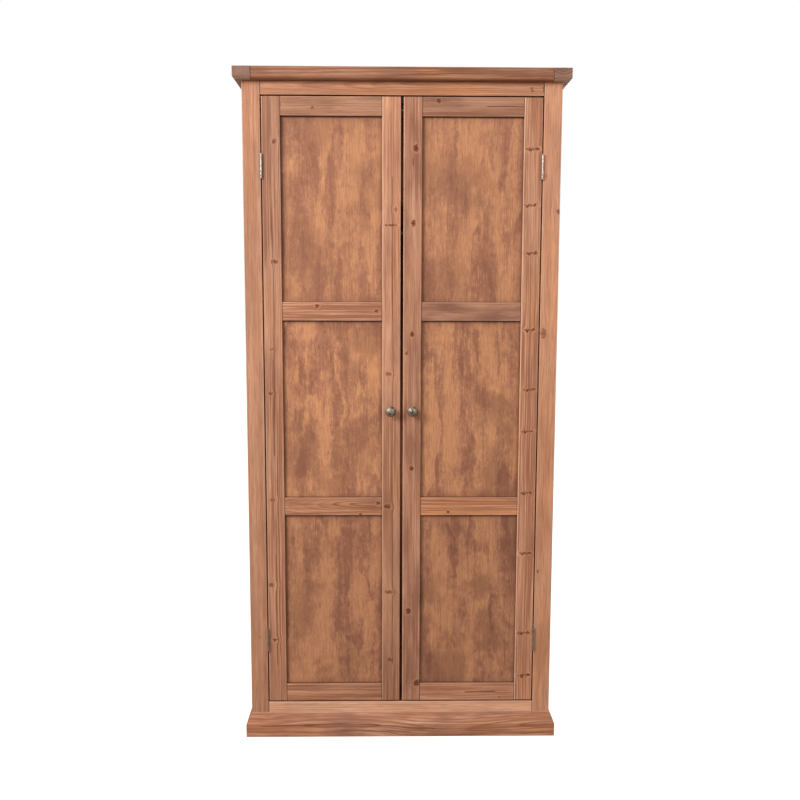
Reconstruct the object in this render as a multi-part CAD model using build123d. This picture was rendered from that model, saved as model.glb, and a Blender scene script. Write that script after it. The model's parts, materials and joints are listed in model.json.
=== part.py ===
from build123d import *
import os

# A two-door wardrobe in pine: four posts, rails tenoned into them, plywood panels in grooves, a top with
# breadboard ends, a mitred plinth and two framed doors on butt hinges.
# Millimetres. +X is to the right as one faces the doors, +Y to the back, +Z up.
# The origin is on the floor, in the middle of the overall width and depth.
# Right-hand pieces are drawn, and left-hand pieces are their mirror images.

# Overall
OVERALL_HEIGHT = 1836.0
BODY_WIDTH = 845.0              # outside to outside of the posts
BODY_DEPTH = 520.0              # front of the front posts to back of the back posts

# Joinery
EASE = 1.5                      # softening of sawn arrises
FIT = 0.2                       # clearance around tenons, tongues and panels
TENON_THICKNESS = 8.0
TENON_LENGTH = 22.0
MORTISE_PLAY = 1.0              # a mortise is deeper than its tenon by this
PANEL_THICKNESS = 6.0
GROOVE_DEPTH = 10.0
PANEL_PLAY = 1.0                # room for a panel to swell, at its sides and its top

# Top
TOP_THICKNESS = 32.0
TOP_OVERHANG = 21.0             # at the front and at both sides
TOP_ROUND = 8.0                 # radius under the front and side edges
TOP_END_WIDTH = 47.0            # a breadboard end, across its grain
TONGUE_STOP = 30.0              # the tongue ends this far from the front and back edges
TONGUE_DEPTH = 14.0
SEAM_EASE = 0.7                 # softening along the seams of the top

# Posts, and the rails between them
POST_WIDTH = 47.5
POST_DEPTH = 40.0
FRONT_TOP_RAIL_HEIGHT = 36.0
FRONT_RAIL_SHOULDER = 6.0
FRAME_RAIL_THICKNESS = 20.0     # side and back rails
FRAME_TOP_RAIL_HEIGHT = 60.0
BOTTOM_RAIL_UNDERSIDE = 45.0    # height of every bottom rail's lower edge above the ground
FRAME_RAIL_ABOVE_PLINTH = 60.0  # how much of a side's bottom rail shows

# Floor and plinth
FLOOR_HEIGHT = 98.0             # inside floor, level with the front bottom rail
FLOOR_THICKNESS = 12.0
FLOOR_CLEARANCE = 0.5
FLOOR_CLEAT = 20.0              # square section
PLINTH_HEIGHT = 67.5
PLINTH_PROJECTION = 14.5
PLINTH_STRAIGHT = 37.0          # height of the upright part, below the bevel
PLINTH_TOP_EDGE = 1.5
PLINTH_ROUND = 3.0

# Doors
DOOR_END_GAP = 3.3              # above and below a door
MEETING_GAP = 7.5               # between the two doors
DOOR_THICKNESS = 22.0
DOOR_STILE_WIDTH = 49.0
DOOR_RAIL_HEIGHT = 50.0
STUB_TENON_PLAY = 0.5
STOP_CLEARANCE = 1.0            # between a closed door and the door stop

# Shelf and hanging rail
HAT_SPACE = 304.0               # clear height above the shelf
SHELF_THICKNESS = 18.0
SHELF_SETBACK = 60.0            # from the front of the posts
SHELF_CLEARANCE = 0.5
SHELF_CLEAT_THICKNESS = 20.0
SHELF_CLEAT_HEIGHT = 90.0
HANGING_RAIL_RADIUS = 12.5
HANGING_RAIL_WALL = 1.2
SOCKET_FLANGE = 3.0
SOCKET_WALL = 3.0
SOCKET_DEPTH = 12.0
SOCKET_FIT = 0.15
SOCKET_SCREW_ROOM = 0.85        # between a screw head and the cup
SOCKET_RIM = 2.5                # flange left outside the screw heads

# Door stop, magnetic catch and strike plates
STOP_DEPTH = 18.0
STOP_LAP = 13.0                 # how far it reaches down behind a door's top edge
CATCH_WIDTH = 56.0
CATCH_HEIGHT = 15.0
CATCH_DEPTH = 18.0
CATCH_EAR = 13.0
CATCH_EAR_THICKNESS = 3.0
CATCH_CLEARANCE = 0.4           # between the magnet and a strike plate
CATCH_ROUND = 2.0
STRIKE_WIDTH = 22.0
STRIKE_HEIGHT = 13.0
STRIKE_THICKNESS = 1.0
STRIKE_INSET = 5.0              # from the door's edge

# Butt hinges
HINGE_LENGTH = 65.0
HINGE_INSET = 180.0             # hinge centre from the door's top or bottom edge
HINGE_LEAF = 1.2
HINGE_LEAF_REACH = 17.0         # how far a leaf goes in behind the front face
HINGE_LEAF_CORNER = 3.0
HINGE_KNUCKLES = 5
KNUCKLE_GAP = 0.4               # between neighbouring knuckles
KNUCKLE_CLEARANCE = 0.25        # between the knuckles and the plane of the front face
LEAF_GAP = 0.6                  # between the leaves of a closed hinge
PIN_RADIUS = 1.5
PIN_END = 0.8                   # how far the pin's domed ends stand out
RUNNING_FIT = 0.05
LEAF_SCREW_PITCH = 21.0
LEAF_SCREW_INSET = 9.0          # behind the front face

# Countersunk wood screw, used throughout
SCREW_LENGTH = 16.0
SCREW_RADIUS = 1.5
SCREW_HEAD_RADIUS = 3.0
SCREW_HEAD_DEPTH = 1.6
SCREW_TIP = 3.0
SCREW_SLOT = 0.6
SCREW_HOLE_FIT = 0.05

# Knobs
KNOB_HEIGHT = 931.0
KNOB_INSET = 26.0               # from the door's meeting edge
KNOB_RADIUS = 14.5
KNOB_PROJECTION = 26.0
KNOB_FOOT_RADIUS = 8.5
KNOB_NECK_RADIUS = 5.5
KNOB_FOOT_HEIGHT = 1.5
KNOB_NECK_REACH = 7.5           # distance of the narrowest part from the door
KNOB_RIM_REACH = 15.5           # distance of the widest part from the door
KNOB_RIM_BAND = 1.2
KNOB_SCREW_RADIUS = 2.0
KNOB_SCREW_GRIP = 12.0          # thread inside the knob
KNOB_SCREW_HEAD_RADIUS = 4.0
KNOB_SCREW_HEAD = 2.5
KNOB_HOLE_FIT = 0.2             # around the screw where it passes through the stile
KNOB_THREAD_FIT = 0.05

# Names that count
DOOR_RAILS = ("bottom", "lower_middle", "upper_middle", "top")
DOOR_PANELS = ("lower", "middle", "upper")

# Derived sizes
FRONT_RAIL_THICKNESS = DOOR_THICKNESS + STOP_CLEARANCE
HINGE_GAP = 2 * HINGE_LEAF + LEAF_GAP               # between a door and its post
KNUCKLE_RADIUS = PIN_RADIUS + RUNNING_FIT + HINGE_LEAF
PIN_PROUD = KNUCKLE_RADIUS + KNUCKLE_CLEARANCE      # pin axis in front of the face
SOCKET_BORE_RADIUS = HANGING_RAIL_RADIUS + SOCKET_FIT
SOCKET_CUP_RADIUS = SOCKET_BORE_RADIUS + SOCKET_WALL
SOCKET_SCREW_RADIUS = SOCKET_CUP_RADIUS + SOCKET_SCREW_ROOM + SCREW_HEAD_RADIUS
SOCKET_FLANGE_RADIUS = SOCKET_SCREW_RADIUS + SCREW_HEAD_RADIUS + SOCKET_RIM
KNUCKLE_LENGTH = (HINGE_LENGTH - (HINGE_KNUCKLES - 1) * KNUCKLE_GAP) / HINGE_KNUCKLES

# Derived positions
FRONT_REACH = max(KNOB_PROJECTION, TOP_OVERHANG, PLINTH_PROJECTION)
FRONT_Y = (FRONT_REACH - BODY_DEPTH) / 2
BACK_Y = FRONT_Y + BODY_DEPTH
HALF_WIDTH = BODY_WIDTH / 2
TOP_UNDERSIDE = OVERALL_HEIGHT - TOP_THICKNESS
POST_INSIDE_X = HALF_WIDTH - POST_WIDTH
FRONT_POST_BACK_Y = FRONT_Y + POST_DEPTH
BACK_POST_FRONT_Y = BACK_Y - POST_DEPTH
SIDE_RAIL_X = HALF_WIDTH - FRAME_RAIL_THICKNESS / 2
SIDE_RAIL_INSIDE_X = HALF_WIDTH - FRAME_RAIL_THICKNESS
SIDE_PANEL_INSIDE_X = SIDE_RAIL_X - PANEL_THICKNESS / 2
BACK_RAIL_Y = BACK_Y - FRAME_RAIL_THICKNESS / 2
BACK_RAIL_INSIDE_Y = BACK_Y - FRAME_RAIL_THICKNESS
BACK_PANEL_INSIDE_Y = BACK_RAIL_Y - PANEL_THICKNESS / 2
FRAME_TOP_RAIL_Z = (TOP_UNDERSIDE - FRAME_TOP_RAIL_HEIGHT, TOP_UNDERSIDE)
FRAME_BOTTOM_RAIL_Z = (BOTTOM_RAIL_UNDERSIDE, PLINTH_HEIGHT + FRAME_RAIL_ABOVE_PLINTH)
FRONT_TOP_RAIL_Z = (TOP_UNDERSIDE - FRONT_TOP_RAIL_HEIGHT, TOP_UNDERSIDE)
FRONT_BOTTOM_RAIL_Z = (BOTTOM_RAIL_UNDERSIDE, FLOOR_HEIGHT)
FRAME_PANEL_Z = (FRAME_BOTTOM_RAIL_Z[1], FRAME_TOP_RAIL_Z[0])
GROOVE_SHOULDER = GROOVE_DEPTH + 1.0    # keeps a rail's tenon clear of its panels

DOOR_X = (MEETING_GAP / 2, POST_INSIDE_X - HINGE_GAP)
DOOR_Y = (FRONT_Y, FRONT_Y + DOOR_THICKNESS)
DOOR_Z = (FLOOR_HEIGHT + DOOR_END_GAP, FRONT_TOP_RAIL_Z[0] - DOOR_END_GAP)
DOOR_OPENING_X = (DOOR_X[0] + DOOR_STILE_WIDTH, DOOR_X[1] - DOOR_STILE_WIDTH)
DOOR_PANEL_HEIGHT = (DOOR_Z[1] - DOOR_Z[0] - len(DOOR_RAILS) * DOOR_RAIL_HEIGHT) / len(DOOR_PANELS)
DOOR_RAIL_PITCH = DOOR_PANEL_HEIGHT + DOOR_RAIL_HEIGHT
DOOR_MIDDLE_Y = (DOOR_Y[0] + DOOR_Y[1]) / 2

STOP_Y = (FRONT_Y + FRONT_RAIL_THICKNESS, FRONT_Y + FRONT_RAIL_THICKNESS + STOP_DEPTH)
STOP_UNDERSIDE = DOOR_Z[1] - STOP_LAP
CATCH_FRONT_Y = DOOR_Y[1] + STRIKE_THICKNESS + CATCH_CLEARANCE
STRIKE_X = DOOR_X[0] + STRIKE_INSET + STRIKE_WIDTH / 2
STRIKE_Z = STOP_UNDERSIDE - CATCH_HEIGHT / 2

SHELF_Z = (TOP_UNDERSIDE - HAT_SPACE - SHELF_THICKNESS, TOP_UNDERSIDE - HAT_SPACE)
SHELF_CLEAT_X = (SIDE_PANEL_INSIDE_X - SHELF_CLEAT_THICKNESS, SIDE_PANEL_INSIDE_X)
SHELF_CLEAT_Z = (SHELF_Z[0] - SHELF_CLEAT_HEIGHT, SHELF_Z[0])
HANGING_RAIL_Y = (DOOR_Y[1] + BACK_PANEL_INSIDE_Y) / 2
HANGING_RAIL_Z = (SHELF_CLEAT_Z[0] + SHELF_CLEAT_Z[1]) / 2

PIN_X = POST_INSIDE_X - HINGE_GAP / 2
PIN_Y = FRONT_Y - PIN_PROUD
HINGE_CENTRES_Z = (DOOR_Z[0] + HINGE_INSET, DOOR_Z[1] - HINGE_INSET)
KNOB_X = DOOR_X[0] + KNOB_INSET

nodes = {}


def block(x, y, z):
    """A square-edged box from its low and high x, y and z."""
    middle = Pos((x[0] + x[1]) / 2, (y[0] + y[1]) / 2, (z[0] + z[1]) / 2)
    return middle * Box(x[1] - x[0], y[1] - y[0], z[1] - z[0])


def board(x, y, z):
    """A box with all its arrises softened."""
    return fillet(block(x, y, z).edges(), EASE)


def mirrored(shape):
    """The left-hand twin of a right-hand shape."""
    return mirror(shape, Plane.YZ)


def both_sides(shapes):
    """The given right-hand shapes, followed by their left-hand twins."""
    return shapes + [mirrored(shape) for shape in shapes]


def add_pair(name, shape):
    """Two carcass nodes, from the right-hand piece."""
    nodes[name + "_right"] = shape
    nodes[name + "_left"] = mirrored(shape)


def add_door_piece(name, shape):
    """One node on each door, from the right-hand door's piece."""
    nodes["right_door_" + name] = shape
    nodes["left_door_" + name] = mirrored(shape)


def add_door_group(name, shapes):
    """One node of identical pieces on each door, from the right-hand door's."""
    nodes["right_door_" + name] = Compound(shapes)
    nodes["left_door_" + name] = Compound([mirrored(shape) for shape in shapes])


def tenon_pair(length, height, reach, thickness, shoulders):
    """The tenons at both ends of a rail that runs along X, centred on the rail's middle.

    The shoulders are how much lower the tenon is than the rail, at its bottom and its top.
    """
    root = reach / 2
    tenons = []
    for end in (-1, 1):
        middle = Pos(end * (length + reach - root) / 2, 0, (shoulders[0] - shoulders[1]) / 2)
        tenons.append(middle * Box(reach + root, thickness, height - sum(shoulders)))
    return tenons


def rail(length, thickness, height, reach, tenon_thickness, shoulders):
    """A rail along X, centred on the origin, with softened arrises and a tenon at each end."""
    body = fillet(Box(length, thickness, height).edges(), EASE)
    for tenon in tenon_pair(length, height, reach, tenon_thickness, shoulders):
        body += tenon
    return body


def screw():
    """A countersunk wood screw that points up, with the top of its head at the origin."""
    outline = make_face(
        Polyline(
            (0, 0),
            (SCREW_HEAD_RADIUS, 0),
            (SCREW_RADIUS, SCREW_HEAD_DEPTH),
            (SCREW_RADIUS, SCREW_LENGTH - SCREW_TIP),
            (0, SCREW_LENGTH),
            close=True,
        )
    )
    body = revolve(Plane.XZ * outline, Axis.Z)
    for turn in (0, 90):
        body -= Rot(0, 0, turn) * Box(SCREW_HEAD_RADIUS * 1.2, SCREW_SLOT, 2 * SCREW_SLOT)
    return body


def screw_hole():
    """The countersink and pilot hole for one screw, as a solid to cut away."""
    hole_radius = SCREW_RADIUS + SCREW_HOLE_FIT
    outline = make_face(
        Polyline(
            (0, 0),
            (SCREW_HEAD_RADIUS, 0),
            (hole_radius, SCREW_HEAD_DEPTH),
            (hole_radius, SCREW_LENGTH + SCREW_HOLE_FIT),
            (0, SCREW_LENGTH + SCREW_HOLE_FIT),
            close=True,
        )
    )
    return revolve(Plane.XZ * outline, Axis.Z)


# Where the screws go: each is a place for a screw that points up, turned to point into the wood.
def frame_leaf_screw_places():
    """Screws through a right-hand frame leaf into the post, pointing to +X."""
    x = POST_INSIDE_X - HINGE_LEAF
    return [
        Pos(x, FRONT_Y + LEAF_SCREW_INSET, middle + step * LEAF_SCREW_PITCH) * Rot(0, 90, 0)
        for middle in HINGE_CENTRES_Z
        for step in (-1, 0, 1)
    ]


def door_leaf_screw_places():
    """Screws through a right-hand door leaf into the door's edge, pointing to -X."""
    x = DOOR_X[1] + HINGE_LEAF
    return [
        Pos(x, FRONT_Y + LEAF_SCREW_INSET, middle + step * LEAF_SCREW_PITCH) * Rot(0, -90, 0)
        for middle in HINGE_CENTRES_Z
        for step in (-1, 0, 1)
    ]


def socket_screw_places():
    """Screws through the right-hand socket's flange into its cleat, pointing to +X."""
    x = SHELF_CLEAT_X[0] - SOCKET_FLANGE
    return [
        Pos(x, HANGING_RAIL_Y, HANGING_RAIL_Z + side * SOCKET_SCREW_RADIUS) * Rot(0, 90, 0)
        for side in (-1, 1)
    ]


def catch_screw_place():
    """The screw through the catch's right-hand ear, up into the door stop."""
    x = (CATCH_WIDTH + CATCH_EAR) / 2
    return Pos(x, CATCH_FRONT_Y + CATCH_DEPTH / 2, STOP_UNDERSIDE - CATCH_EAR_THICKNESS)


def strike_screw_place():
    """The screw through the right-hand strike plate, forwards into the door."""
    return Pos(STRIKE_X, DOOR_Y[1] + STRIKE_THICKNESS, STRIKE_Z) * Rot(90, 0, 0)


def placed(places, shape):
    """The same shape at each place."""
    return [place * shape for place in places]


# Rails of the carcass, by what they have in common
def front_rail_settings(z):
    """Place, length and height of a rail between the front posts."""
    place = Pos(0, FRONT_Y + FRONT_RAIL_THICKNESS / 2, (z[0] + z[1]) / 2)
    return place, 2 * POST_INSIDE_X, z[1] - z[0]


def side_rail_settings(z):
    """Place, length and height of a rail between the right-hand posts."""
    middle_y = (FRONT_POST_BACK_Y + BACK_POST_FRONT_Y) / 2
    place = Pos(SIDE_RAIL_X, middle_y, (z[0] + z[1]) / 2) * Rot(0, 0, 90)
    return place, BACK_POST_FRONT_Y - FRONT_POST_BACK_Y, z[1] - z[0]


def back_rail_settings(z):
    """Place, length and height of a rail between the back posts."""
    return Pos(0, BACK_RAIL_Y, (z[0] + z[1]) / 2), 2 * POST_INSIDE_X, z[1] - z[0]


def carcass_rail(settings, thickness, shoulders):
    """A carcass rail in its place."""
    place, length, height = settings
    return place * rail(length, thickness, height, TENON_LENGTH, TENON_THICKNESS, shoulders)


def mortises(settings, shoulders):
    """What a carcass rail's two tenons take out of the posts, with their clearance."""
    place, length, height = settings
    reach = TENON_LENGTH + MORTISE_PLAY
    thickness = TENON_THICKNESS + 2 * FIT
    return [place * cut for cut in tenon_pair(length, height + 2 * FIT, reach, thickness, shoulders)]


def panel_groove_z(z):
    """Low and high z of the grooves for a panel whose opening spans z."""
    return (z[0] - GROOVE_DEPTH, z[1] + GROOVE_DEPTH)


def panel_z(z):
    """Low and high z of a panel that stands on its lower groove's bottom."""
    return (z[0] - GROOVE_DEPTH, z[1] + GROOVE_DEPTH - PANEL_PLAY)


def groove_across(middle):
    """Low and high place of a groove's walls, about the middle of its panel."""
    half = PANEL_THICKNESS / 2 + FIT
    return (middle - half, middle + half)


def panel_across(middle):
    """Low and high place of a panel's faces."""
    return (middle - PANEL_THICKNESS / 2, middle + PANEL_THICKNESS / 2)


FRONT_SHOULDERS = (FRONT_RAIL_SHOULDER, FRONT_RAIL_SHOULDER)
FRAME_SHOULDERS = (GROOVE_SHOULDER, GROOVE_SHOULDER)


def front_post():
    """The right-hand front post, mortised for four rails and grooved for the side panel."""
    post = block((POST_INSIDE_X, HALF_WIDTH), (FRONT_Y, FRONT_POST_BACK_Y), (0, TOP_UNDERSIDE))
    post = fillet(post.edges().filter_by(Axis.Z), EASE)
    for z in (FRONT_BOTTOM_RAIL_Z, FRONT_TOP_RAIL_Z):
        for mortise in mortises(front_rail_settings(z), FRONT_SHOULDERS):
            post -= mortise
    for z in (FRAME_BOTTOM_RAIL_Z, FRAME_TOP_RAIL_Z):
        for mortise in mortises(side_rail_settings(z), FRAME_SHOULDERS):
            post -= mortise
    groove_y = (FRONT_POST_BACK_Y - GROOVE_DEPTH, FRONT_POST_BACK_Y)
    post -= block(groove_across(SIDE_RAIL_X), groove_y, panel_groove_z(FRAME_PANEL_Z))
    for hole in placed(frame_leaf_screw_places(), screw_hole()):
        post -= hole
    return post


def back_post():
    """The right-hand back post, mortised for four rails and grooved for the side and back panels."""
    post = block((POST_INSIDE_X, HALF_WIDTH), (BACK_POST_FRONT_Y, BACK_Y), (0, TOP_UNDERSIDE))
    post = fillet(post.edges().filter_by(Axis.Z), EASE)
    for z in (FRAME_BOTTOM_RAIL_Z, FRAME_TOP_RAIL_Z):
        for settings in (side_rail_settings(z), back_rail_settings(z)):
            for mortise in mortises(settings, FRAME_SHOULDERS):
                post -= mortise
    groove_z = panel_groove_z(FRAME_PANEL_Z)
    groove_y = (BACK_POST_FRONT_Y, BACK_POST_FRONT_Y + GROOVE_DEPTH)
    post -= block(groove_across(SIDE_RAIL_X), groove_y, groove_z)
    groove_x = (POST_INSIDE_X, POST_INSIDE_X + GROOVE_DEPTH)
    post -= block(groove_x, groove_across(BACK_RAIL_Y), groove_z)
    return post


def edge_groove(z):
    """Low and high z of the groove in the rail that spans z, where it faces the carcass panels."""
    if z == FRAME_TOP_RAIL_Z:
        return (z[0], z[0] + GROOVE_DEPTH)
    return (z[1] - GROOVE_DEPTH, z[1])


def side_rail(z):
    """A rail of the right-hand side, grooved for the side panel."""
    piece = carcass_rail(side_rail_settings(z), FRAME_RAIL_THICKNESS, FRAME_SHOULDERS)
    groove_y = (FRONT_POST_BACK_Y, BACK_POST_FRONT_Y)
    return piece - block(groove_across(SIDE_RAIL_X), groove_y, edge_groove(z))


def back_rail(z):
    """A rail of the back, grooved for the back panel."""
    piece = carcass_rail(back_rail_settings(z), FRAME_RAIL_THICKNESS, FRAME_SHOULDERS)
    groove_x = (-POST_INSIDE_X, POST_INSIDE_X)
    return piece - block(groove_x, groove_across(BACK_RAIL_Y), edge_groove(z))


def side_panel():
    """The plywood panel of the right-hand side."""
    reach = GROOVE_DEPTH - PANEL_PLAY
    y = (FRONT_POST_BACK_Y - reach, BACK_POST_FRONT_Y + reach)
    return block(panel_across(SIDE_RAIL_X), y, panel_z(FRAME_PANEL_Z))


def back_panel():
    """The plywood panel of the back."""
    reach = POST_INSIDE_X + GROOVE_DEPTH - PANEL_PLAY
    return block((-reach, reach), panel_across(BACK_RAIL_Y), panel_z(FRAME_PANEL_Z))


def floor_panel():
    """The inside floor, notched round the four posts."""
    side_x = SIDE_RAIL_INSIDE_X - FLOOR_CLEARANCE
    z = (FLOOR_HEIGHT - FLOOR_THICKNESS, FLOOR_HEIGHT)
    front_y = FRONT_Y + FRONT_RAIL_THICKNESS
    panel = block((-side_x, side_x), (front_y, BACK_RAIL_INSIDE_Y), z)
    notch_x = (POST_INSIDE_X - FLOOR_CLEARANCE, HALF_WIDTH)
    notch = block(notch_x, (FRONT_Y, FRONT_POST_BACK_Y + FLOOR_CLEARANCE), z)
    back_notch = block(notch_x, (BACK_POST_FRONT_Y - FLOOR_CLEARANCE, BACK_Y), z)
    for cut in both_sides([notch, back_notch]):
        panel -= cut
    return panel


def floor_cleat():
    """The batten that carries the floor's right-hand edge."""
    z_top = FLOOR_HEIGHT - FLOOR_THICKNESS
    x = (SIDE_RAIL_INSIDE_X - FLOOR_CLEAT, SIDE_RAIL_INSIDE_X)
    return board(x, (FRONT_POST_BACK_Y, BACK_POST_FRONT_Y), (z_top - FLOOR_CLEAT, z_top))


def plinth_profile():
    """The plinth's section, with its back on the Y axis and its face towards +X."""
    outline = make_face(
        Polyline(
            (0, 0),
            (PLINTH_PROJECTION, 0),
            (PLINTH_PROJECTION, PLINTH_STRAIGHT),
            (PLINTH_TOP_EDGE, PLINTH_HEIGHT),
            (0, PLINTH_HEIGHT),
            close=True,
        )
    )
    arris = outline.vertices().group_by(Axis.X)[-1].sort_by(Axis.Y)[-1]
    return fillet(arris, PLINTH_ROUND)


def plinth_front():
    """The front plinth board, mitred at both ends."""
    outside_x = HALF_WIDTH + PLINTH_PROJECTION
    outside_y = FRONT_Y - PLINTH_PROJECTION
    section = Plane(origin=(-outside_x, FRONT_Y, 0), x_dir=(0, -1, 0), z_dir=(-1, 0, 0)) * plinth_profile()
    length = extrude(section, 2 * outside_x, dir=(1, 0, 0))
    plan = make_face(
        Polyline(
            (-outside_x, outside_y),
            (outside_x, outside_y),
            (HALF_WIDTH, FRONT_Y),
            (-HALF_WIDTH, FRONT_Y),
            close=True,
        )
    )
    return length & extrude(plan, PLINTH_HEIGHT)


def plinth_side():
    """The right-hand plinth board, mitred at its front end."""
    outside_x = HALF_WIDTH + PLINTH_PROJECTION
    outside_y = FRONT_Y - PLINTH_PROJECTION
    section = Plane(origin=(HALF_WIDTH, BACK_Y, 0), x_dir=(1, 0, 0), z_dir=(0, -1, 0)) * plinth_profile()
    length = extrude(section, BACK_Y - outside_y, dir=(0, -1, 0))
    plan = make_face(
        Polyline(
            (HALF_WIDTH, FRONT_Y),
            (outside_x, outside_y),
            (outside_x, BACK_Y),
            (HALF_WIDTH, BACK_Y),
            close=True,
        )
    )
    return length & extrude(plan, PLINTH_HEIGHT)


def whole_top():
    """The top before it is divided into its boards: rounded below at the front and the sides."""
    outside_x = HALF_WIDTH + TOP_OVERHANG
    slab = block((-outside_x, outside_x), (FRONT_Y - TOP_OVERHANG, BACK_Y), (TOP_UNDERSIDE, OVERALL_HEIGHT))
    lower = slab.faces().sort_by(Axis.Z)[0].edges()
    rounded = lower - lower.sort_by(Axis.Y)[-1:]
    slab = fillet(rounded, TOP_ROUND)
    return fillet(slab.faces().sort_by(Axis.Z)[-1].edges(), EASE)


def top_boards():
    """The middle board of the top, and the right-hand breadboard end."""
    slab = whole_top()
    outside_x = HALF_WIDTH + TOP_OVERHANG
    seam_x = outside_x - TOP_END_WIDTH
    y = (FRONT_Y - TOP_OVERHANG, BACK_Y)
    z = (TOP_UNDERSIDE, OVERALL_HEIGHT)
    middle = slab & block((-seam_x, seam_x), y, z)
    end = slab & block((seam_x, outside_x), y, z)
    for face in (middle.faces().sort_by(Axis.X)[-1], middle.faces().sort_by(Axis.X)[0]):
        middle = chamfer(middle.edges().filter_by(lambda e, x=face.center().X: on_plane_x(e, x)), SEAM_EASE)
    end = chamfer(end.edges().filter_by(lambda e: on_plane_x(e, seam_x)), SEAM_EASE)
    tongue_y = (y[0] + TONGUE_STOP, y[1] - TONGUE_STOP)
    middle_z = (z[0] + z[1]) / 2
    tongue_z = (middle_z - TENON_THICKNESS / 2, middle_z + TENON_THICKNESS / 2)
    for tongue in both_sides([block((seam_x - TONGUE_DEPTH, seam_x + TONGUE_DEPTH), tongue_y, tongue_z)]):
        middle += tongue
    groove_x = (seam_x - FIT, seam_x + TONGUE_DEPTH + MORTISE_PLAY)
    groove_y = (tongue_y[0] - FIT, tongue_y[1] + FIT)
    groove_z = (tongue_z[0] - FIT, tongue_z[1] + FIT)
    end -= block(groove_x, groove_y, groove_z)
    return middle, end


def on_plane_x(edge, x):
    """Whether an edge lies in the plane at x."""
    box = edge.bounding_box()
    return abs(box.min.X - x) < FIT and abs(box.max.X - x) < FIT


def hat_shelf():
    """The shelf over the hanging rail, notched round the back posts."""
    side_x = SIDE_PANEL_INSIDE_X - SHELF_CLEARANCE
    back_y = BACK_PANEL_INSIDE_Y - SHELF_CLEARANCE
    shelf = board((-side_x, side_x), (FRONT_Y + SHELF_SETBACK, back_y), SHELF_Z)
    notch_x = (POST_INSIDE_X - SHELF_CLEARANCE, HALF_WIDTH)
    notch = block(notch_x, (BACK_POST_FRONT_Y - SHELF_CLEARANCE, BACK_Y), SHELF_Z)
    for cut in both_sides([notch]):
        shelf -= cut
    return shelf


def shelf_cleat():
    """The right-hand batten under the shelf, which also holds the hanging rail's socket."""
    cleat = board(SHELF_CLEAT_X, (FRONT_POST_BACK_Y, BACK_POST_FRONT_Y), SHELF_CLEAT_Z)
    for hole in placed(socket_screw_places(), screw_hole()):
        cleat -= hole
    return cleat


def disc(radius, x0, x1):
    """A round bar along X at the hanging rail's height."""
    middle = Pos((x0 + x1) / 2, HANGING_RAIL_Y, HANGING_RAIL_Z)
    return middle * Rot(0, 90, 0) * Cylinder(radius, x1 - x0)


def rail_socket():
    """The right-hand socket of the hanging rail: a flange with a cup."""
    wall_x = SHELF_CLEAT_X[0]
    flange_x = wall_x - SOCKET_FLANGE
    socket = disc(SOCKET_FLANGE_RADIUS, flange_x, wall_x)
    socket += disc(SOCKET_CUP_RADIUS, flange_x - SOCKET_DEPTH, wall_x)
    socket -= disc(SOCKET_BORE_RADIUS, flange_x - SOCKET_DEPTH, flange_x)
    for hole in placed(socket_screw_places(), screw_hole()):
        socket -= hole
    return socket


def hanging_rail():
    """The tube that clothes hang on."""
    end_x = SHELF_CLEAT_X[0] - SOCKET_FLANGE - SOCKET_FIT
    tube = disc(HANGING_RAIL_RADIUS, -end_x, end_x)
    return tube - disc(HANGING_RAIL_RADIUS - HANGING_RAIL_WALL, -end_x, end_x)


def door_stop():
    """The batten behind the front top rail that both doors close against."""
    end_x = POST_INSIDE_X
    stop = board((-end_x, end_x), STOP_Y, (STOP_UNDERSIDE, TOP_UNDERSIDE))
    for hole in both_sides([catch_screw_place() * screw_hole()]):
        stop -= hole
    return stop


def magnetic_catch():
    """The casing of the double catch, with an ear and a screw at each end."""
    y = (CATCH_FRONT_Y, CATCH_FRONT_Y + CATCH_DEPTH)
    body = block((-CATCH_WIDTH / 2, CATCH_WIDTH / 2), y, (STOP_UNDERSIDE - CATCH_HEIGHT, STOP_UNDERSIDE))
    body = fillet(body.edges().filter_by(Axis.Z), CATCH_ROUND)
    ear_x = CATCH_WIDTH / 2 + CATCH_EAR
    ears = block((-ear_x, ear_x), y, (STOP_UNDERSIDE - CATCH_EAR_THICKNESS, STOP_UNDERSIDE))
    body += fillet(ears.edges().filter_by(Axis.Z), CATCH_ROUND)
    for hole in both_sides([catch_screw_place() * screw_hole()]):
        body -= hole
    return body


def strike_plate():
    """The steel plate behind the right-hand door that the catch holds."""
    x = (STRIKE_X - STRIKE_WIDTH / 2, STRIKE_X + STRIKE_WIDTH / 2)
    z = (STRIKE_Z - STRIKE_HEIGHT / 2, STRIKE_Z + STRIKE_HEIGHT / 2)
    plate = block(x, (DOOR_Y[1], DOOR_Y[1] + STRIKE_THICKNESS), z)
    plate = fillet(plate.edges().filter_by(Axis.Y), CATCH_ROUND)
    return plate - strike_screw_place() * screw_hole()


def knuckle_z(centre, index):
    """Low and high z of one knuckle, counted from the bottom of the hinge."""
    low = centre - HINGE_LENGTH / 2 + index * (KNUCKLE_LENGTH + KNUCKLE_GAP)
    return (low, low + KNUCKLE_LENGTH)


def knuckle(radius, z):
    """A cylinder about the pin's axis."""
    return Pos(PIN_X, PIN_Y, (z[0] + z[1]) / 2) * Cylinder(radius, z[1] - z[0])


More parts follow.
